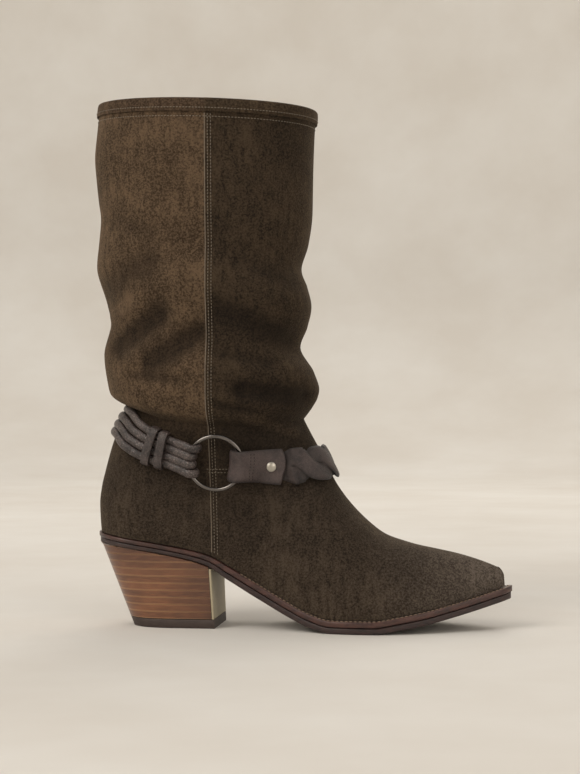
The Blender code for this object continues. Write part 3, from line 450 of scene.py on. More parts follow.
def stack_material(number):
    """Waxed stacked leather: fine horizontal streaks, a pale line at each joint, darker toward
    the top, near the sole, and toward the breast, each lift a little different."""
    material, shader = new_material(f"stacked_leather_{number:02d}", Roughness=0.36,
                                    Coat_Weight=0.2, Coat_Roughness=0.3)
    fine = noise(material, place(material, (0.12, 0.12, 1)), 0.8, 3, 0.6)
    broad = noise(material, place(material, (0.35, 0.35, 1)), 6, 3)
    tone = ["#6f4630", "#65402b", "#774d34", "#69432e", "#613d2b"][number % 5]
    base = blend(material, remap(material, fine, 0.35, 0.7), tone, "#86593d")
    base = blend(material, remap(material, broad, 0.42, 0.75, 0, 0.6), base, "#4c3024")
    spot = add(material, "ShaderNodeTexCoord", {}).outputs["Object"]
    x, _, z = add(material, "ShaderNodeSeparateXYZ", {0: spot}).outputs
    joint = combine(material, "PINGPONG", combine(material, "ADD", z, -STACK_BASE),
                    LIFT_THICKNESS / 2)
    base = blend(material, remap(material, joint, 0.15 * MM, 0.75 * MM, 0.85, 0), base, "#a87f5c")
    high = remap(material, z, 30 * MM, 60 * MM, 0, 0.6)
    ahead = remap(material, x, -4 * MM, 28 * MM, 0, 0.6)
    dark = combine(material, "MAXIMUM", high, ahead)
    link(material, blend(material, dark, base, "#3a2620"), shader, "Base Color")
    relief(material, shader, fine, 0.08)
    return material


low = STACK_BASE
number = 1
while low + LIFT_THICKNESS / 2 < HEEL_TOP_HEIGHT:
    piece(f"leather_lift_{number:02d}",
          lift_points(low, low + LIFT_THICKNESS - LIFT_GAP, BREAST_THICKNESS + CLEARANCE,
                      LIFT_EDGE),
          stack_material(number), "stacked_leather", [f"heel_lift_{number:02d}"])
    low += LIFT_THICKNESS
    number += 1

rubber = mottled("moulded_heel_rubber", "#2f2522", "#4a3d37", 5, 3, grain=(0.6, 2, 0.08),
                 Roughness=0.62)
piece("rubber_top_piece", lift_points(0.0, TOP_PIECE_THICKNESS, 0.0, TOP_PIECE_EDGE), rubber,
      "heel_rubber", ["top_piece"])
dress("heel_breast", mottled("pale_breast_leather", "#9a8f75", "#b8ad92", 8, 4,
                             grain=(0.6, 2, 0.08), Roughness=0.55))

# Upper: split suede in two panels, a rear one and a front one that laps over it at both side
# seams, closed round a pointed last and stitched to the welt. The tall shaft is cut long, so it
# slouches: it rests in folds over the ankle. Its nap is brushed, and a painted highlight makes
# it lighter on the ridges.
INSTEP_HEIGHT, BOOT_HEIGHT, COLLAR_DROP = 122.5 * MM, 348 * MM, 5.5 * MM
ANKLE_BACK_HEIGHT, SHAFT_DEPTH, SHAFT_WIDTH = 146 * MM, 145 * MM, 104 * MM
SHAFT_AXIS, SEAM_PLACE, SEAM_STEP = 20.5 * MM, 27.5 * MM, 0.6 * MM
BINDING_HEIGHT, BINDING_THICKNESS = 7.5 * MM, 1.0 * MM
TOE_WALL_LEVEL, SHAFT_ROUND, LAP_FADE = 0.19, 0.92, 12 * MM

# The vamp's ridge from the toe's feather edge (0) to the throat (1)
RIDGE = table("level set_in height", [
    (0.00, 0.0180, 0.000), (0.07, 0.0196, 0.062), (0.13, 0.0268, 0.104), (0.19, 0.0362, 0.121),
    (0.26, 0.0690, 0.172), (0.33, 0.1200, 0.239), (0.40, 0.1810, 0.304), (0.47, 0.2430, 0.362),
    (0.54, 0.2990, 0.428), (0.61, 0.3480, 0.514), (0.69, 0.3880, 0.608), (0.78, 0.4180, 0.700),
    (0.88, 0.4550, 0.848), (1.00, 0.5000, 1.000),
])
# The back of the foot from the feather edge (0) to the ankle crease (1)
BACK = table("level set_in", [
    (0.00, 0.0060), (0.10, 0.0036), (0.22, 0.0022), (0.36, 0.0070), (0.48, 0.0155),
    (0.60, 0.0250), (0.70, 0.0340), (0.80, 0.0450), (0.90, 0.0600), (1.00, 0.0830),
])
# The shaft: a row for each crease and bulge from the ankle crease to the collar
SHAFT = table("back_rise front_rise back front half sag", [
    (0.000, 0.000, 0.348, 0.445, 0.361, 0.040),
    (0.020, 0.039, 0.417, 0.486, 0.415, 0.042),
    (0.042, 0.069, 0.452, 0.509, 0.450, 0.038),
    (0.085, 0.098, 0.467, 0.517, 0.468, 0.032),
    (0.174, 0.156, 0.482, 0.490, 0.472, 0.022),
    (0.279, 0.234, 0.449, 0.429, 0.444, 0.014),
    (0.339, 0.300, 0.469, 0.461, 0.458, 0.008),
    (0.462, 0.367, 0.516, 0.480, 0.481, 0.004),
    (0.543, 0.431, 0.506, 0.461, 0.477, 0.000),
    (0.623, 0.490, 0.497, 0.434, 0.468, 0.000),
    (0.683, 0.571, 0.507, 0.466, 0.478, 0.000),
    (0.757, 0.674, 0.518, 0.485, 0.487, 0.000),
    (0.827, 0.797, 0.525, 0.488, 0.492, 0.000),
    (0.907, 0.906, 0.515, 0.493, 0.496, 0.000),
    (1.000, 1.000, 0.500, 0.500, 0.500, 0.000),
])
LAST_ROW = len(SHAFT["half"]) - 1
# Slanting creases: side (-1 outer), ends as shares of the shaft's depth and the boot's height,
# spread and depth as shares of the shaft's width; a negative depth is a ridge
CREASES = table("side start_x start_z end_x end_z spread depth", [
    (-1, -0.234, 0.532, -0.028, 0.592, 0.085, 0.036),
    (-1, -0.055, 0.506, 0.145, 0.557, 0.085, 0.036),
    (-1, 0.345, 0.451, 0.620, 0.438, 0.070, 0.040),
    (-1, 0.260, 0.600, 0.560, 0.545, 0.100, 0.026),
    (-1, -0.300, 0.640, -0.080, 0.690, 0.110, 0.022),
    (1, -0.220, 0.545, 0.050, 0.520, 0.085, 0.034),
    (1, 0.180, 0.590, 0.470, 0.540, 0.090, 0.030),
    (1, 0.300, 0.450, 0.600, 0.445, 0.070, 0.036),
    (1, -0.280, 0.700, 0.020, 0.660, 0.110, 0.024),
])
# Finer wrinkles in the suede between the folds, written in the same way
WRINKLES = table("side start_x start_z end_x end_z spread depth", [
    (-1, 0.230, 0.425, 0.390, 0.410, 0.030, 0.016),
    (-1, 0.360, 0.402, 0.560, 0.372, 0.034, -0.016),
    (-1, -0.160, 0.478, 0.060, 0.470, 0.034, 0.012),
    (-1, 0.240, 0.520, 0.470, 0.500, 0.040, 0.012),
    (-1, -0.290, 0.590, -0.130, 0.610, 0.036, -0.010),
    (-1, 0.330, 0.690, 0.560, 0.655, 0.050, 0.010),
    (-1, -0.250, 0.770, -0.050, 0.745, 0.060, 0.008),
    (-1, -0.210, 0.350, -0.020, 0.330, 0.040, 0.008),
    (1, 0.220, 0.430, 0.400, 0.415, 0.030, 0.016),
    (1, -0.180, 0.480, 0.080, 0.468, 0.034, 0.012),
    (1, 0.200, 0.660, 0.500, 0.690, 0.060, 0.010),
    (1, -0.240, 0.610, -0.060, 0.590, 0.036, -0.010),
])
FEATHER = sole_outline(lambda x: BALL_WIDTH * sole_curve("show", x), SOLE_STEPS)
FEATHER_BACK, FEATHER_TIP = FEATHER[0, 0], FEATHER[SOLE_STEPS, 0]
THROAT = FEATHER_TIP - SOLE_LENGTH * (RIDGE["set_in"][-1] - RIDGE["set_in"][0])
ANKLE_BACK = FEATHER_BACK + SOLE_LENGTH * (BACK["set_in"][-1] - BACK["set_in"][0])
THROAT_HEIGHT = seat(THROAT) + INSTEP_HEIGHT
EDGE_BACK_HEIGHT = BOOT_HEIGHT - BINDING_THICKNESS - CLEARANCE
EDGE_FRONT_HEIGHT = EDGE_BACK_HEIGHT - COLLAR_DROP


def shaft_row(column, row):
    """A column of the shaft's table between two of its rows."""
    return curve({"row": np.arange(LAST_ROW + 1.0), column: SHAFT[column]}, "row", column, row)


def shaft_skin(turn, row):
    """The shaft's face: an oval for each row, hung between its back and its front."""
    share = (1 - np.cos(turn)) / 2
    low = ease(1 - row)
    back = SHAFT_AXIS - SHAFT_DEPTH * shaft_row("back", row)
    back = back + low * (ANKLE_BACK - SHAFT_AXIS + SHAFT_DEPTH * SHAFT["back"][0])
    front = SHAFT_AXIS + SHAFT_DEPTH * shaft_row("front", row)
    front = front + low * (THROAT - SHAFT_AXIS - SHAFT_DEPTH * SHAFT["front"][0])
    side = np.sin(turn)
    y = -SHAFT_WIDTH * shaft_row("half", row) * np.sign(side) * np.abs(side) ** SHAFT_ROUND
    back_height = (ANKLE_BACK_HEIGHT
                   + (EDGE_BACK_HEIGHT - ANKLE_BACK_HEIGHT) * shaft_row("back_rise", row))
    front_height = (THROAT_HEIGHT
                    + (EDGE_FRONT_HEIGHT - THROAT_HEIGHT) * shaft_row("front_rise", row))
    sag = (EDGE_BACK_HEIGHT - ANKLE_BACK_HEIGHT) * shaft_row("sag", row)
    z = back_height + (front_height - back_height) * share - sag * side ** 2
    return np.stack([back + (front - back) * share, y, z], axis=-1)


def ridge_place(level):
    """Where the ring of a level meets the middle plane in front."""
    return FEATHER_TIP - SOLE_LENGTH * (curve(RIDGE, "level", "set_in", level)
                                        - RIDGE["set_in"][0])


def foot_skin(turn, level):
    """The foot's face: rings that start at the feather edge, climb the toe's short wall and
    close over the vamp's ridge. Between them the wall leans in as a superellipse."""
    share = (1 - np.cos(turn)) / 2
    back = FEATHER_BACK + SOLE_LENGTH * (curve(BACK, "level", "set_in", level)
                                         - BACK["set_in"][0])
    x = back + (ridge_place(level) - back) * share
    behind = (1 - share) ** 3
    toe_roll = (FEATHER_TIP - ridge_place(np.minimum(level, TOE_WALL_LEVEL))) * share ** 8
    ankle_x = x + (ANKLE_BACK - back) * behind
    base = seat(x) + UPPER_CLEARANCE
    ridge_level = np.linspace(TOE_WALL_LEVEL, 1, 200)
    ridge_x = ridge_place(ridge_level)
    ridge_z = seat(ridge_x) + INSTEP_HEIGHT * curve(RIDGE, "level", "height", ridge_level)
    climb = np.clip(level / np.interp(x, ridge_x[::-1], ridge_level[::-1]), 0, 1)
    arch = ease((x - THROAT + 0.25 * INSTEP_HEIGHT) / (0.6 * INSTEP_HEIGHT))
    rise = climb + arch * (np.sin(climb * math.pi / 2) - climb)
    ankle_share = np.clip((ankle_x - ANKLE_BACK) / (THROAT - ANKLE_BACK), 0, 1)
    ankle_turn = np.arccos(1 - 2 * ankle_share)
    ankle = shaft_skin(ankle_turn, np.zeros_like(ankle_turn))
    top = np.where(x > THROAT, np.interp(x, ridge_x[::-1], ridge_z[::-1]), ankle[..., 2])
    side = np.sin(turn)
    lean = (1 - np.minimum(rise, 1) ** (2.3 - 0.3 * arch)) ** 0.5
    middle, half = edge_line(FEATHER, SOLE_STEPS, x + (FEATHER_BACK - back) * behind + toe_roll)
    ankle_half = np.where(x > THROAT, 0.0, np.abs(ankle[..., 1])) * rise
    centred = rise * ease(1 - (x - THROAT) / (0.35 * INSTEP_HEIGHT))
    y = middle * (1 - centred) - np.sign(side) * np.hypot(half * lean, ankle_half)
    return np.stack([x, y, base + (top - base) * rise], axis=-1)


def skin(turn, level):
    """The plain face by turn (0 back, half pi outer side, pi front) and level: 0 to 1 is the
    foot, and each unit above that is a row of the shaft's table."""
    turn, level = np.broadcast_arrays(turn, level)
    foot = foot_skin(turn, np.clip(level, 0, 1))
    shaft = shaft_skin(turn, np.clip(level - 1, 0, LAST_ROW))
    return np.where((level <= 1)[..., None], foot, shaft)


def pressed(points, rows):
    """How far the creases of a table press the skin in at its points."""
    x, z = points[..., 0], points[..., 2]
    depth = np.zeros_like(x)
    for side, x0, z0, x1, z1, spread, deep in zip(*rows.values()):
        ax, bx, az, bz = SHAFT_DEPTH * x0, SHAFT_DEPTH * x1, BOOT_HEIGHT * z0, BOOT_HEIGHT * z1
        along = ((x - ax) * (bx - ax) + (z - az) * (bz - az)) / ((bx - ax) ** 2 + (bz - az) ** 2)
        along = np.clip(along, 0, 1)
        away = np.hypot(x - ax - along * (bx - ax), z - az - along * (bz - az))
        near = ease(side * points[..., 1] / (0.2 * SHAFT_WIDTH))
        depth += SHAFT_WIDTH * deep * np.exp(-(away / (SHAFT_WIDTH * spread)) ** 2) * near
    return depth


def skin_normal(turn, level):
    """The plain face's outward normal, from how the face moves with turn and level."""
    nudge = 0.012
    around = skin(turn + nudge, level) - skin(turn - nudge, level)
    up = skin(turn, level + nudge) - skin(turn, level - nudge)
    return unit(np.cross(around, up))


def outer_face(turn, level, lift=0.0):
    """The suede's outer face: the skin, its creases, the lap of the front panel at the side
    seams, and a distance over it."""
    turn, level = np.broadcast_arrays(turn, level)
    points = skin(turn, level)
    ahead = points[..., 0] - SEAM_PLACE
    lap = np.where(ahead > 0, SEAM_STEP * np.exp(-np.maximum(ahead, 0) / LAP_FADE), 0.0)
    shift = lap - pressed(points, CREASES) - pressed(points, WRINKLES) + lift
    return points + skin_normal(turn, level) * shift[..., None]


def seam_turn(level, ahead=0.0, outer_side=True):
    """The turn at which each level passes a distance ahead of the side seam."""
    ends = skin(np.array([[1e-4, math.pi - 1e-4]]), level[:, None])
    share = (SEAM_PLACE + ahead - ends[:, 0, 0]) / (ends[:, 1, 0] - ends[:, 0, 0])
    turn = np.arccos(1 - 2 * share)
    return turn if outer_side else 2 * math.pi - turn


FOOT_ROWS, SHAFT_ROWS, REAR_COLUMNS, FRONT_COLUMNS = 72, 9, 46, 74
levels = np.concatenate([np.linspace(0, 1, FOOT_ROWS + 1),
                         1 + np.arange(1, LAST_ROW * SHAFT_ROWS + 1) / SHAFT_ROWS])
seam = seam_turn(levels)[:, None]
seam_gap = 0.008
rear_turns = (seam - seam_gap) * np.linspace(0, 1, REAR_COLUMNS + 1)
front_share = 1 - np.linspace(1, 0, FRONT_COLUMNS + 1) ** 1.15
front_turns = seam + seam_gap + (math.pi - seam - seam_gap) * front_share
half_turns = np.concatenate([rear_turns, front_turns], axis=1)
turns = np.concatenate([half_turns, 2 * math.pi - half_turns[:, -2:0:-1]], axis=1)
outer_points = outer_face(turns, levels[:, None])
inner_levels = np.concatenate([[0], levels[2:-2:3], levels[-1:]])
inner_rows = np.searchsorted(levels, inner_levels)
inner_points = (outer_points - skin_normal(turns, levels[:, None]) * WALL)[inner_rows]
inner_points[0, :, 2] = outer_points[0, :, 2]
inner_points[-1, :, 2] = outer_points[-1, :, 2]
# Painted shade in the creases and in a band round the ankle crease, and a painted highlight on
# the ridges where the depth is negative.
pressed_in = pressed(outer_points, CREASES) + 1.5 * pressed(outer_points, WRINKLES)
ankle_crease_shade = 0.9 * np.exp(-((levels - 1.2) / 0.9) ** 2)[:, None]
fold_shading = np.clip(pressed_in / (0.03 * SHAFT_WIDTH) + ankle_crease_shade, -1, 1)
all_rows = np.concatenate([outer_points, inner_points[::-1]])
hidden = np.zeros(inner_points.shape[:2])
front_panel = (turns > seam) & (turns < 2 * math.pi - seam)
upper_values = {
    "front": np.concatenate([front_panel * 1.0, hidden]),
    "fold_shading": np.concatenate([fold_shading, hidden]),
    "foot": np.concatenate([ease(1.6 - levels / 0.8)[:, None] + 0 * fold_shading, hidden]),
    "toe": np.concatenate([ease((outer_points[..., 0] - 120 * MM) / (105 * MM)), hidden]),
    "inside": np.concatenate([0 * fold_shading, hidden + 1])}


def stored(material, key):
    """A named number of the mesh."""
    return add(material, "ShaderNodeAttribute", {}, attribute_name=key).outputs["Fac"]


def suede_material(name, rear_colours, front_colours):
    """Brushed split suede: a short nap of fine specks, cloudy where it was brushed two ways,
    dull, with a soft sheen at a glancing angle. The front panel is painted darker than the rear
    one for the different sheen of its nap, the toe is rubbed paler, the folds and the ankle
    crease get painted shade inside, and the ridges a painted highlight."""
    material, shader = new_material(name, Roughness=0.95, Specular_IOR_Level=0.15,
                                    Sheen_Weight=0.22, Sheen_Roughness=0.45,
                                    Sheen_Tint=linear("#b8a48c"))
    spot = place(material)
    clouds = remap(material, noise(material, spot, 42, 4, 0.62), 0.38, 0.62)
    nap = remap(material, noise(material, spot, 1.3, 2, 0.8), 0.38, 0.62)
    strokes = remap(material, noise(material, place(material, (1, 1, 0.3)), 4, 3, 0.6),
                    0.35, 0.7)
    front, painted_fold_shading, inside, foot, toe = [stored(material, key) for key in
                                        ("front", "fold_shading", "inside", "foot", "toe")]
    # The front panel's darker colours are painted sheen: the same suede, its nap catching the
    # light less.
    dark = blend(material, front, rear_colours[0], front_colours[0])
    light = blend(material, front, rear_colours[1], front_colours[1])
    mixed = remap(material, combine(material, "MULTIPLY_ADD", clouds, strokes, nap), 0.1, 1.35)
    colour = blend(material, mixed, dark, light)
    colour = blend(material, foot, colour, blend(material, mixed, "#241d17", "#4d4237"))
    colour = blend(material, toe, colour, blend(material, mixed, "#3c342e", "#6f655c"))
    # Painted shade inside the folds and the ankle crease, then a painted highlight on the ridges.
    colour = blend(material, remap(material, painted_fold_shading, 0.1, 1.0, 0, 0.7), colour, "#0f0b08")
    colour = blend(material, remap(material, painted_fold_shading, -0.1, -1.0, 0, 0.5), colour, "#5c4d3f")
    colour = blend(material, inside, colour, "#6b5846")
    link(material, colour, shader, "Base Color")
    first = relief(material, shader, noise(material, spot, 1.0, 3, 0.75), 0.5)
    relief(material, shader, noise(material, spot, 9, 3, 0.55), 0.6, first)
    return material


# Rear and front colours of one suede; the front's darker pair is painted for the weaker sheen of
# its nap.
suede = suede_material("brushed_split_suede", ("#2d2319", "#63513f"), ("#1a140e", "#43372a"))
piece("suede_upper", all_rows, suede, "suede", ["upper"], join_rows=True, values=upper_values)

# Collar binding: a folded strip of the same suede, glued over the raw top edge and sewn down
# near its lower edge, where it makes a soft roll.
BINDING_ROLL, HALVINGS = 0.25 * MM, 22


def last_level(holds, low, high):
    """The level between two others up to which a test holds, by halving steps."""
    for _ in range(HALVINGS):
        middle = (low + high) / 2
        below = holds(middle)
        low, high = np.where(below, middle, low), np.where(below, high, middle)
    return (low + high) / 2


def collar_level(turn, drop):
    """The level at which each turn lies a distance below the top edge."""
    top = LAST_ROW + 1.0 + 0 * turn
    lowest = skin(turn, top)[..., 2] - drop
    return last_level(lambda level: skin(turn, level)[..., 2] <= lowest, top - 1, top)


collar_turns = np.linspace(0, 2 * math.pi, 300, endpoint=False)
binding_far = BINDING_THICKNESS + CLEARANCE


def collar_ring(drop, out):
    """A ring round the collar at a distance below its edge and a distance outside the wall."""
    level = collar_level(collar_turns, max(drop, 0.0))
    ring = outer_face(collar_turns, level, out)
    ring[:, 2] += max(-drop, 0.0)
    return ring


outer_side = [(BINDING_HEIGHT * t, binding_far + BINDING_ROLL * math.sin(math.pi * t) ** 0.5)
              for t in (1, 0.97, 0.9, 0.75, 0.5, 0.25, 0.1)]
over_edge = [(-binding_far * math.sin(a), (binding_far + WALL / 2) * math.cos(a) - WALL / 2)
             for a in np.linspace(0, math.pi, 9)]
inner_side = [(BINDING_HEIGHT * t, -WALL - binding_far) for t in (0.2, 0.6, 1.0)]
underside = [(BINDING_HEIGHT, -WALL - CLEARANCE), (BINDING_HEIGHT / 2, -WALL - CLEARANCE),
             (CLEARANCE, -WALL - CLEARANCE), (-CLEARANCE, -WALL / 2), (CLEARANCE, CLEARANCE),
             (BINDING_HEIGHT / 2, CLEARANCE), (BINDING_HEIGHT, CLEARANCE)]
binding_rings = np.stack([collar_ring(d, o)
                          for d, o in outer_side + over_edge + inner_side + underside])
# The binding's front part is painted darker, as on the upper, for the weaker sheen of the front
# panel's nap.
collar_front = (np.cos(collar_turns) < np.cos(seam_turn(levels[-1:])[0])) * 1.0
binding_suede = suede_material("folded_suede_binding", ("#2b2118", "#5b4a3b"),
                               ("#251d15", "#4c3f31"))
piece("suede_binding", binding_rings, binding_suede, "suede_binding", ["collar_binding"],
      join_rows=True, values={"front": collar_front})

# Seams: twisted polyester thread in lockstitch about 2 mm long, pulled into the suede. Two rows
# follow each side seam, the top of the vamp and the collar, and one row holds the welt. The
# raw cut edge of the front panel shows as a pale line along the side seam.
STITCH_PITCH, STITCH_LENGTH, THREAD = 2.1 * MM, 1.6 * MM, 0.26 * MM
STITCH_LIFT, SEAM_ROWS = 0.08 * MM, (1.7 * MM, 3.7 * MM)
thread = mottled("twisted_polyester_thread", "#5a5044", "#857a6b", 0.8, 2, Roughness=0.6)
welt_thread = mottled("waxed_linen_thread", "#75604f", "#a08a74", 0.8, 2, Roughness=0.5)


def tube_rings(line, normal, across, up, sides=12, blunt=0.0):
    """A closed tube along a line: at each point an oval, its half sizes across and up, and
    both ends drawn in to a point. The normal says which way is up."""
    along = unit(np.gradient(line, axis=0))
    normal = unit(normal - along * np.sum(normal * along, axis=1, keepdims=True))
    sideways = np.cross(along, normal)
    angle = np.linspace(0, 2 * math.pi, sides, endpoint=False)
    power = 1 - blunt
    round_x = np.sign(np.cos(angle)) * np.abs(np.cos(angle)) ** power
    round_y = np.sign(np.sin(angle)) * np.abs(np.sin(angle)) ** power
    across = np.broadcast_to(across, len(line))[:, None, None]
    up = np.broadcast_to(up, len(line))[:, None, None]
    offset = (sideways[:, None] * round_x[None, :, None] * across
              + normal[:, None] * round_y[None, :, None] * up)
    centre = np.concatenate([line[:1], line, line[-1:]])[:, None]
    return centre + np.concatenate([0 * offset[:1], offset, 0 * offset[-1:]])


def run_along(line):
    """The length of a line up to each of its points."""
    return np.concatenate([[0], np.cumsum(np.linalg.norm(np.diff(line, axis=0), axis=1))])


def evenly(line, pitch):
    """Middle points and directions of equal steps along a line, and their share of its run."""
    run = run_along(line)
    count = max(int(run[-1] / pitch), 1)
    at = (np.arange(count) + 0.5) * run[-1] / count
    spot = np.stack([np.interp(at, run, line[:, k]) for k in range(3)], axis=1)
    ahead = np.stack([np.interp(at + MM / 2, run, line[:, k]) for k in range(3)], axis=1)
    return spot, unit(ahead - spot), at / run[-1]


def stitch_row(line, normal, pitch=STITCH_PITCH, length=STITCH_LENGTH, thick=THREAD):
    """Stitches along a line: each is a grain shape, an oval whose size follows a half circle
    along it, lying on the surface."""
    spot, along, share = evenly(line, pitch)
    places = np.linspace(0, 1, len(normal))
    up = unit(np.stack([np.interp(share, places, normal[:, k]) for k in range(3)], axis=1))
    side = np.cross(along, up)
    t = np.linspace(-1, 1, 6)[:, None]
    angle = np.linspace(0, 2 * math.pi, 6, endpoint=False)[None, :]
    size = thick * np.sqrt(np.maximum(1 - t ** 2, 0.0))
    return (spot[:, None, None] + along[:, None, None] * (t * length / 2)[None, ..., None]
            + side[:, None, None] * (size * np.cos(angle))[None, ..., None]
            + up[:, None, None] * (size * np.sin(angle))[None, ..., None])


def stitches(name, rows, material):
    """Many separate stitches as one piece."""
    grains = np.concatenate(rows)
    count, rings, sides = grains.shape[:3]
    start = (np.arange(count) * rings * sides)[:, None, None]
    row, side = np.arange(rings - 1)[None, :, None], np.arange(sides)[None, None, :]
    beside = (side + 1) % sides
    faces = np.stack([start + row * sides + side, start + row * sides + beside,
                      start + (row + 1) * sides + beside, start + (row + 1) * sides + side],
                     axis=-1)
    mesh = bpy.data.meshes.new(name)
    mesh.from_pydata(grains.reshape(-1, 3).tolist(), [], faces.reshape(-1, 4).tolist())
    finish(name, mesh, material)


def on_seam(first, last, ahead, outer_side, lift, steps=260):
    """A line over the suede that runs up the side seam, a distance ahead of it."""
    level = np.linspace(first, last, steps)
    turn = seam_turn(level, ahead, outer_side)
    return outer_face(turn, level, lift), skin_normal(turn, level)


SEAM_TOP, SEAM_FOOT, RAW_EDGE_PLACE = LAST_ROW + 0.55, 0.03, -0.15 * MM
side_rows = [stitch_row(*on_seam(SEAM_FOOT, SEAM_TOP, ahead, outer, STITCH_LIFT))
             for outer in (True, False) for ahead in SEAM_ROWS]
stitches("side_seam_stitches", side_rows, thread)
raw_edge = mottled("cut_suede_edge", "#5c5146", "#85796a", 1.2, 3, Roughness=0.9)
for label, outer in (("outer", True), ("inner", False)):
    line, normal = on_seam(SEAM_FOOT, SEAM_TOP, RAW_EDGE_PLACE, outer, 0.1 * MM)
    piece(f"side_seam_edge_{label}", tube_rings(line, normal, 0.34 * MM, 0.4 * MM, 8),
          raw_edge, "suede")


def round_collar(drop, lift):
    """A closed line round the collar, a distance below its edge."""
    turn = np.linspace(0, 2 * math.pi, 401)
    level = collar_level(turn, drop)
    return outer_face(turn, level, lift), skin_normal(turn, level)


BINDING_ROW_UP, COLLAR_ROW_DOWN = 2.2 * MM, 3.2 * MM
stitches("collar_stitches",
         [stitch_row(*round_collar(BINDING_HEIGHT - BINDING_ROW_UP, binding_far + THREAD)),
          stitch_row(*round_collar(BINDING_HEIGHT + COLLAR_ROW_DOWN, STITCH_LIFT))],
         thread)


def level_at(turn, height):
    """The level at which each turn of the foot has a height."""
    return last_level(lambda level: skin(turn, level)[..., 2] < height, 0 * height,
                      1 + 0 * height)


VAMP_TOP, VAMP_ROW_STEP, VAMP_SEAM_START = 105.4 * MM, 2.2 * MM, 1.42
vamp_turns = np.linspace(VAMP_SEAM_START, 2 * math.pi - VAMP_SEAM_START, 260)
vamp_rows = []
for drop in (0.0, VAMP_ROW_STEP):
    level = level_at(vamp_turns, VAMP_TOP - drop + 0 * vamp_turns)
    vamp_rows.append(stitch_row(outer_face(vamp_turns, level, STITCH_LIFT),
                                skin_normal(vamp_turns, level)))
stitches("vamp_seam_stitches", vamp_rows, thread)

WELT_STITCH_SET_IN, WELT_STITCH_START, WELT_STITCH_LIFT = 1.7 * MM, 46 * MM, 0.1 * MM
WELT_PITCH, WELT_STITCH_LENGTH, WELT_THREAD = 3.0 * MM, 2.4 * MM, 0.42 * MM
welt_line = sole_outline(lambda x: WELT_STITCH_SET_IN + 0 * x, SOLE_STEPS)
welt_line = welt_line[welt_line[:, 0] > WELT_STITCH_START]
welt_line = np.column_stack([welt_line, seat(welt_line[:, 0]) + WELT_STITCH_LIFT])
upright = np.tile([0.0, 0.0, 1.0], (len(welt_line), 1))
stitches("welt_stitches",
         [stitch_row(welt_line, upright, WELT_PITCH, WELT_STITCH_LENGTH, WELT_THREAD)],
         welt_thread)

# Ring: a round wire bent to a ring, welded, polished and plated dark gunmetal. It hangs in the
# loops of the cords and of the tab, and leans on the ankle.
RING_RADIUS, RING_WIRE, RING_PLACE, RING_HEIGHT = 17.8 * MM, 3.0 * MM, 32.0 * MM, 110.7 * MM
VISIBLE_WIRE = 2.7 * MM
HARNESS_CLEARANCE = SEAM_STEP + 0.5 * MM
CORD_THICKNESS, TAB_THICKNESS, CORD_WIDTH = 2.6 * MM, 2.2 * MM, 4.2 * MM
# Height of the harness's middle over the ring's, as shares of the way up to the ankle crease,
# and the pitch of the cords as a share of their width, by place as shares of the shaft's depth
HARNESS = table("place outer inner pitch", [
    (-0.310, 0.768, 0.768, 1.30), (-0.248, 0.709, 0.709, 1.34), (-0.172, 0.470, 0.470, 1.42),
    (-0.076, 0.267, 0.267, 1.34), (0.014, 0.157, 0.157, 1.26), (0.131, 0.050, 0.063, 1.40),
    (0.221, 0.000, 0.016, 1.40), (0.379, -0.078, -0.047, 1.40), (0.524, -0.110, -0.094, 1.40),
    (0.759, -0.047, -0.047, 1.40),
])


# A belt of points on the skin round the ankle, a row for each mm of height
belt_turns = np.linspace(0, 2 * math.pi, 721)
belt_heights = RING_HEIGHT + np.linspace(-26, 50, 77) * MM
belt_grid = np.meshgrid(belt_turns, belt_heights, indexing="ij")
belt_points = skin(belt_grid[0], level_at(*belt_grid))


def on_foot(turn, height):
    """The point of the foot's skin at each turn that has a height, read between the belt's
    points."""
    column = turn % (2 * math.pi) / belt_turns[1]
    row = (height - belt_heights[0]) / MM
    i = np.clip(np.floor(column).astype(int), 0, len(belt_turns) - 2)
    j = np.clip(np.floor(row).astype(int), 0, len(belt_heights) - 2)
    s, t = (column - i)[..., None], (row - j)[..., None]
    low = belt_points[i, j] * (1 - s) + belt_points[i + 1, j] * s
    high = belt_points[i, j + 1] * (1 - s) + belt_points[i + 1, j + 1] * s
    return low * (1 - t) + high * t


def harness_line(turn):
    """The harness's middle line on the skin, and its height: each pass reads the height at the
    place that the last pass found."""
    column = np.where(np.sin(turn) >= 0, 1.0, 0.0)
    point = on_foot(turn, RING_HEIGHT + 0 * turn)
    for _ in range(3):
        place_share = point[..., 0] / SHAFT_DEPTH
        share = (column * curve(HARNESS, "place", "outer", place_share)
                 + (1 - column) * curve(HARNESS, "place", "inner", place_share))
        height = RING_HEIGHT + (ANKLE_BACK_HEIGHT - RING_HEIGHT) * share
        point = on_foot(turn, height)
    return point, height


HARNESS_NUDGE = 0.03


def foot_slopes(turn, height):
    """How the foot's skin moves with the turn and with the height."""
    by_turn = on_foot(turn + HARNESS_NUDGE, height) - on_foot(turn - HARNESS_NUDGE, height)
    by_height = on_foot(turn, height + MM) - on_foot(turn, height - MM)
    return by_turn / (2 * HARNESS_NUDGE), by_height / (2 * MM)


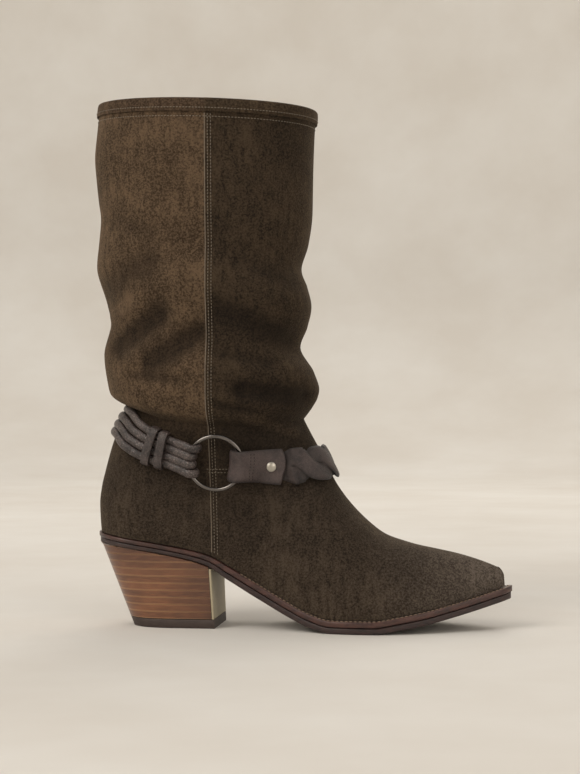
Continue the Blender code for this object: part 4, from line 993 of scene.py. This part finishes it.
def on_harness(turn, across):
    """Points and normals on the skin along the harness, a distance square to its middle line:
    the turn and the height that give that step are solved from the skin's two slopes."""
    turn, across = np.broadcast_arrays(turn, across)
    _, height = harness_line(turn)
    along = unit(harness_line(turn + HARNESS_NUDGE)[0] - harness_line(turn - HARNESS_NUDGE)[0])
    by_turn, by_height = foot_slopes(turn, height)
    upward = np.cross(unit(np.cross(by_turn, by_height)), along)
    a, b = np.sum(by_turn ** 2, axis=-1), np.sum(by_turn * by_height, axis=-1)
    c, p = np.sum(by_height ** 2, axis=-1), np.sum(by_turn * upward, axis=-1)
    q, span = np.sum(by_height * upward, axis=-1), a * c - b * b
    turn = turn + across * (c * p - b * q) / span
    height = height + across * (a * q - b * p) / span
    return on_foot(turn, height), unit(np.cross(*foot_slopes(turn, height))), along, upward


def turn_at(x, outer_side=True):
    """The turn at which the harness passes a place along the boot."""
    many = np.linspace(0.02, math.pi - 0.02, 200)
    many = many if outer_side else 2 * math.pi - many
    return float(np.interp(x, harness_line(many)[0][:, 0], many))


def spot_at(x):
    """The harness's point at a place on the outer side, its normal, its line and its width."""
    return [vectors[0] for vectors in on_harness(np.array([turn_at(x)]), 0.0)]


point, out, along, upward = spot_at(RING_PLACE)
ring_lift = RING_WIRE / 2 + CLEARANCE + max(CORD_THICKNESS, TAB_THICKNESS) + HARNESS_CLEARANCE
ring_centre = point + out * ring_lift
around = np.linspace(0, 2 * math.pi, 160, endpoint=False)[:, None, None]
wire = np.linspace(0, 2 * math.pi, 20, endpoint=False)[None, :, None]
reach = RING_RADIUS + VISIBLE_WIRE / 2 * np.cos(wire)
ring_points = (ring_centre + along * reach * np.cos(around) + upward * reach * np.sin(around)
               + out * VISIBLE_WIRE / 2 * np.sin(wire))
gunmetal, gunmetal_shader = new_material("gunmetal_plated_steel", Metallic=1.0)
ring_tone = noise(gunmetal, place(gunmetal), 7, 3)
link(gunmetal, blend(gunmetal, ring_tone, "#4f4b49", "#86817d"), gunmetal_shader, "Base Color")
link(gunmetal, remap(gunmetal, ring_tone, 0.3, 0.7, 0.16, 0.28), gunmetal_shader, "Roughness")
piece("gunmetal_ring", ring_points, gunmetal, "gunmetal", ["ring"], join_rows=True)

# Cords: four strips of embossed leather, each rolled and glued to a round cord, looped round
# the ring's wire and run round the back of the ankle. Two leather keepers bundle them.
CORD_COUNT, CORD_VISIBLE_WIDTH, CORD_VISIBLE_THICKNESS = 4, 5.6 * MM, 3.8 * MM
LOOP_REACH, KEEPER_LENGTH, KEEPER_THICKNESS = 4.0 * MM, 5.8 * MM, 1.8 * MM
KEEPER_PLACES = (-11.5 * MM, -4.0 * MM)
BEND_STEPS = 9


def strip_from_ring(across, start_height, side, thickness, width, turns, past=0.0):
    """Middle line and normals of a strip that is bent round the ring's wire, from behind it,
    and then lies on the skin. The side is -1 for the back of the ring. The bend is an arc that
    is longer than round by a distance past the wire."""
    point, normal, _, _ = on_harness(turns, across)
    wire_at = (ring_centre + along * side * math.sqrt(RING_RADIUS ** 2 - start_height ** 2)
               + upward * start_height)
    slant = math.asin(start_height / RING_RADIUS)
    radius = (RING_WIRE / 2 / math.cos(slant) + width / 4 * abs(math.tan(slant))
              + 2 * CLEARANCE + thickness / 2)
    bend = np.radians(np.linspace(80, -97, BEND_STEPS))[:, None]
    bend_normal = -side * np.cos(bend) * along - np.sin(bend) * out
    bend_line = (wire_at + radius * bend_normal
                 - side * along * past * np.maximum(np.cos(bend), 0))
    away = np.linalg.norm(point - wire_at, axis=1)
    full = ring_lift + RING_WIRE / 2 + 3 * CLEARANCE - HARNESS_CLEARANCE
    lie = HARNESS_CLEARANCE + thickness / 2 + full * ease(1.1 - away / RING_RADIUS)
    return (np.concatenate([bend_line, point + normal * lie[:, None]]),
            np.concatenate([bend_normal, normal]))


def leather_material(name, dark, light, grain_mm, rough, deep=0.4):
    """Smooth or embossed strap leather: small cells between fine furrows, clouded by wax, with
    pale specks painted as the glint of its grain. A strap's stored darkness is painted shade
    along its cut edges and where it lies under another strand."""
    material, shader = new_material(name, Roughness=rough)
    spot = place(material)
    cells = add(material, "ShaderNodeTexVoronoi", {"Vector": spot, "Scale": per(grain_mm)},
                feature="DISTANCE_TO_EDGE").outputs["Distance"]
    furrow = remap(material, cells, 0.0, 0.3)
    clouds = remap(material, noise(material, spot, 11, 4, 0.6), 0.35, 0.7)
    colour = blend(material, clouds, dark, light)
    # Pale specks painted as the glint of the grain.
    grain_glints = remap(material, noise(material, spot, 1.7, 2, 0.7), 0.48, 0.66, 0, 0.7)
    colour = blend(material, grain_glints, colour, light)
    colour = blend(material, remap(material, furrow, 0, 1, deep, 0), colour, "#140f0e")
    # Painted shade from the strap's stored darkness: along its edges and under other strands.
    edge = remap(material, stored(material, "dark"), 0, 1, 0, 0.8)
    colour = blend(material, edge, colour, "#120d0c")
    link(material, colour, shader, "Base Color")
    relief(material, shader, furrow, 0.16)
    return material


cord_leather = leather_material("embossed_cord_leather", "#2c2423", "#7a6d69", 1.5, 0.36, 0.85)
first = turn_at(RING_PLACE - RING_RADIUS - LOOP_REACH)
last = turn_at(RING_PLACE - RING_RADIUS, False)
cord_turns = np.linspace(first, last - 2 * math.pi, 90)
pitch = CORD_WIDTH * curve(HARNESS, "place", "pitch",
                           harness_line(cord_turns)[0][:, 0] / SHAFT_DEPTH)
for number in range(CORD_COUNT):
    step = (CORD_COUNT - 1) / 2 - number
    line, normal = strip_from_ring(step * pitch, step * pitch[0], -1, CORD_THICKNESS,
                                   CORD_WIDTH, cord_turns)
    rings = tube_rings(line, normal, CORD_VISIBLE_WIDTH / 2, CORD_VISIBLE_THICKNESS / 2, 18)
    piece(f"rolled_cord_{number + 1}", rings, cord_leather, "strap_leather",
          [f"cord_{number + 1}"])

keeper_leather = leather_material("smooth_keeper_leather", "#2a2221", "#5f5350", 1.2, 0.38, 0.6)
for number, at in enumerate(KEEPER_PLACES, 1):
    middle = turn_at(at)
    bundle = ((CORD_COUNT - 1) / 2 * np.interp(middle, cord_turns[::-1], pitch[::-1])
              + CORD_VISIBLE_WIDTH / 2 + KEEPER_THICKNESS / 2 + CLEARANCE)
    bow = np.linspace(math.pi, 0, 41)
    across = bundle * np.sign(np.cos(bow)) * np.abs(np.cos(bow)) ** 0.5
    depth = ((CORD_VISIBLE_THICKNESS + KEEPER_THICKNESS / 2 + 2 * CLEARANCE)
             * np.abs(np.sin(bow)) ** 0.45)
    spot, up, _, keeper_up = on_harness(middle + 0 * across, across)
    line = spot + up * (HARNESS_CLEARANCE + depth)[:, None]
    facing = up * np.sin(bow)[:, None] + keeper_up * (np.cos(bow) ** 3)[:, None]
    rings = tube_rings(line, facing, KEEPER_LENGTH / 2, KEEPER_THICKNESS / 2, 16, blunt=0.5)
    piece(f"cord_keeper_{number}", rings, keeper_leather, "strap_leather",
          [f"keeper_{number}"])

# Tabs: on the outer side a waxed leather tab folds round the ring, sewn with two rows beside
# the fold, and is riveted over the end of the braid with a nickel rivet. On the inner side a
# plain tab joins the braid's other end to the cords.
TAB_WIDTH, TAB_FLARE, TAB_END, TAB_FOLD = 21 * MM, 2.6 * MM, 76 * MM, 4.4 * MM
TAB_ROUND, TAB_SLANT, TAB_STRIPS = 1.6 * MM, 3.2 * MM, 17
TAB_ROW_PLACES, TAB_STITCH_LIFT = (53.8 * MM, 57.2 * MM), 0.05 * MM
TAB_PITCH, TAB_STITCH_LENGTH, TAB_THREAD = 1.9 * MM, 1.3 * MM, 0.36 * MM


def strap(name, strips, lift, thickness, material, nodes=(), hidden=0.0):
    """A strap from strips side by side, each a line with its normals: its two faces lie half
    the thickness either side of the lifted lines, and close in a round edge all round. It gets
    painted shade along its cut edges and where it is hidden. Returns its middle face and normals."""
    normals = np.stack([normal for _, normal in strips], axis=1)
    lines = np.stack([line for line, _ in strips], axis=1) + normals * lift
    share = np.linspace(-1, 1, lines.shape[1])
    edge = np.sqrt(np.maximum(1 - np.abs(share) ** 7, 0))
    ends = np.sqrt(np.maximum(1 - np.abs(np.linspace(-1, 1, lines.shape[0])) ** 50, 0))
    half = normals * (thickness / 2 * edge[None, :] * ends[:, None])[..., None]
    # Painted shade: the edge band and the share of the strap that lies hidden under another.
    dark = np.maximum(np.abs(share) ** 8 + 0 * lines[..., 0], 0.75 * hidden)
    piece(name, np.concatenate([lines + half, (lines - half)[:, ::-1]], axis=1), material,
          "strap_leather", nodes, values={"dark": np.concatenate([dark, dark[:, ::-1]], axis=1)})
    return lines, normals


tab_leather = leather_material("waxed_tab_leather", "#3a2f2e", "#5f504d", 0.5, 0.44)
first = turn_at(RING_PLACE + RING_RADIUS + LOOP_REACH)
strips = []
for share in np.linspace(-1, 1, TAB_STRIPS):
    last = turn_at(TAB_END - TAB_ROUND * share ** 2 + TAB_SLANT * min(share, 0))
    turns = np.linspace(first, last, 40)
    half = TAB_WIDTH / 2 + TAB_FLARE / 2 * ease((turns - first) / (last - first))
    height = share * TAB_WIDTH / 2
    bulge = RING_RADIUS - math.sqrt(RING_RADIUS ** 2 - height ** 2)
    strips.append(strip_from_ring(share * half, height, 1, TAB_THICKNESS, CORD_WIDTH, turns,
                                  TAB_FOLD - bulge))
lines, normals = strap("folded_ring_tab", strips, 0.0, TAB_THICKNESS, tab_leather, ["ring_tab"])
tab_rows = []
for at in TAB_ROW_PLACES:
    row = int(np.argmin(np.abs(lines[BEND_STEPS:, TAB_STRIPS // 2, 0] - at))) + BEND_STEPS
    seam_line = lines[row] + normals[row] * (TAB_THICKNESS / 2 + TAB_STITCH_LIFT)
    tab_rows.append(stitch_row(seam_line[1:-1], normals[row, 1:-1], TAB_PITCH,
                               TAB_STITCH_LENGTH, TAB_THREAD))
dark_thread = mottled("brown_polyester_thread", "#1a1412", "#2c2422", 0.8, 2, Roughness=0.6)
stitches("tab_stitches", tab_rows, dark_thread)

RIVET_DIAMETER, RIVET_HEIGHT, RIVET_PLACE = 6.5 * MM, 1.4 * MM, 67 * MM
spot, up, rivet_along, rivet_up = spot_at(RIVET_PLACE)
# The rivet's outline from under its rim to the top of its dome, as shares of radius and height
rivet_profile = np.array([(0.0, -0.1), (0.97, -0.1), (1.0, 0.05), (0.98, 0.25), (0.9, 0.45),
                          (0.82, 0.5), (0.76, 0.56), (0.6, 0.8), (0.3, 0.97), (0.0, 1.0)])
angle = np.linspace(0, 2 * math.pi, 40, endpoint=False)[None, :, None]
head = spot + up * (HARNESS_CLEARANCE + TAB_THICKNESS + CLEARANCE)
rivet_points = (head + up * RIVET_HEIGHT * rivet_profile[:, 1, None, None]
                + (rivet_along * np.cos(angle) + rivet_up * np.sin(angle))
                * (RIVET_DIAMETER / 2 * rivet_profile[:, 0, None, None]))
nickel = mottled("brushed_nickel", "#a39d92", "#c9c4ba", 1.5, 3, Metallic=1.0, Roughness=0.34)
piece("nickel_rivet", rivet_points, nickel, "nickel", ["rivet"])

first = turn_at(RING_PLACE - RING_RADIUS + 3 * CLEARANCE, False)
turns = np.linspace(first, turn_at(TAB_END, False), 50)
strips = [on_harness(turns, share * TAB_WIDTH / 2)[:2] for share in np.linspace(-1, 1, 15)]
strap("plain_inner_tab", strips, HARNESS_CLEARANCE + TAB_THICKNESS / 2, TAB_THICKNESS,
      tab_leather, ["inner_tab"])

# Braid: two flat strands of the same leather, laid over and under each other across the
# instep, their ends caught under the tabs.
STRAND_WIDTH, STRAND_THICKNESS, BRAID_WIDTH, BRAID_PERIOD = 12 * MM, 1.9 * MM, 24 * MM, 36 * MM
BRAID_FIRST_LOBE, BRAID_TUCK, BRAID_RISE = 80.5 * MM, 7 * MM, 4 * MM
BRAID_LIFT, STRAND_BOW = 2.2 * MM, 0.5 * MM
braid_leather = leather_material("waxed_braid_leather", "#352b2b", "#5b4d49", 0.5, 0.48)
turns = np.linspace(turn_at(TAB_END - BRAID_TUCK), turn_at(TAB_END - BRAID_TUCK, False), 150)
middle_line = harness_line(turns)[0]
run = run_along(middle_line)
lobe_run = np.interp(BRAID_FIRST_LOBE, middle_line[:60, 0], run[:60])
free = ease((np.minimum(run, run[-1] - run) - BRAID_TUCK) / BRAID_RISE)
swing = (BRAID_WIDTH - STRAND_WIDTH) / 2
for number in range(2):
    angle = 2 * math.pi * (run - lobe_run) / BRAID_PERIOD + math.pi / 2 + number * math.pi
    slope = swing * 2 * math.pi / BRAID_PERIOD * np.cos(angle)
    wide = STRAND_WIDTH / 2 * np.sqrt(1 + slope ** 2) * (0.9 + 0.1 * free)
    over = (1 - np.cos(angle)) / 2 * free
    across = np.linspace(-1, 1, 11)
    strips = [on_harness(turns, swing * np.sin(angle) * (0.75 + 0.25 * free) + share * wide)[:2]
              for share in across]
    depth = (HARNESS_CLEARANCE - TAB_THICKNESS * (1 - free) + STRAND_THICKNESS / 2
             + BRAID_LIFT * over)[:, None] + STRAND_BOW * (1 - across ** 2) * free[:, None]
    # Where a strand runs under the other it gets painted shade.
    strap(f"braid_strand_{number + 1}", strips, depth[..., None], STRAND_THICKNESS,
          braid_leather, ["braid"] if number == 0 else [], (1 - over)[:, None])
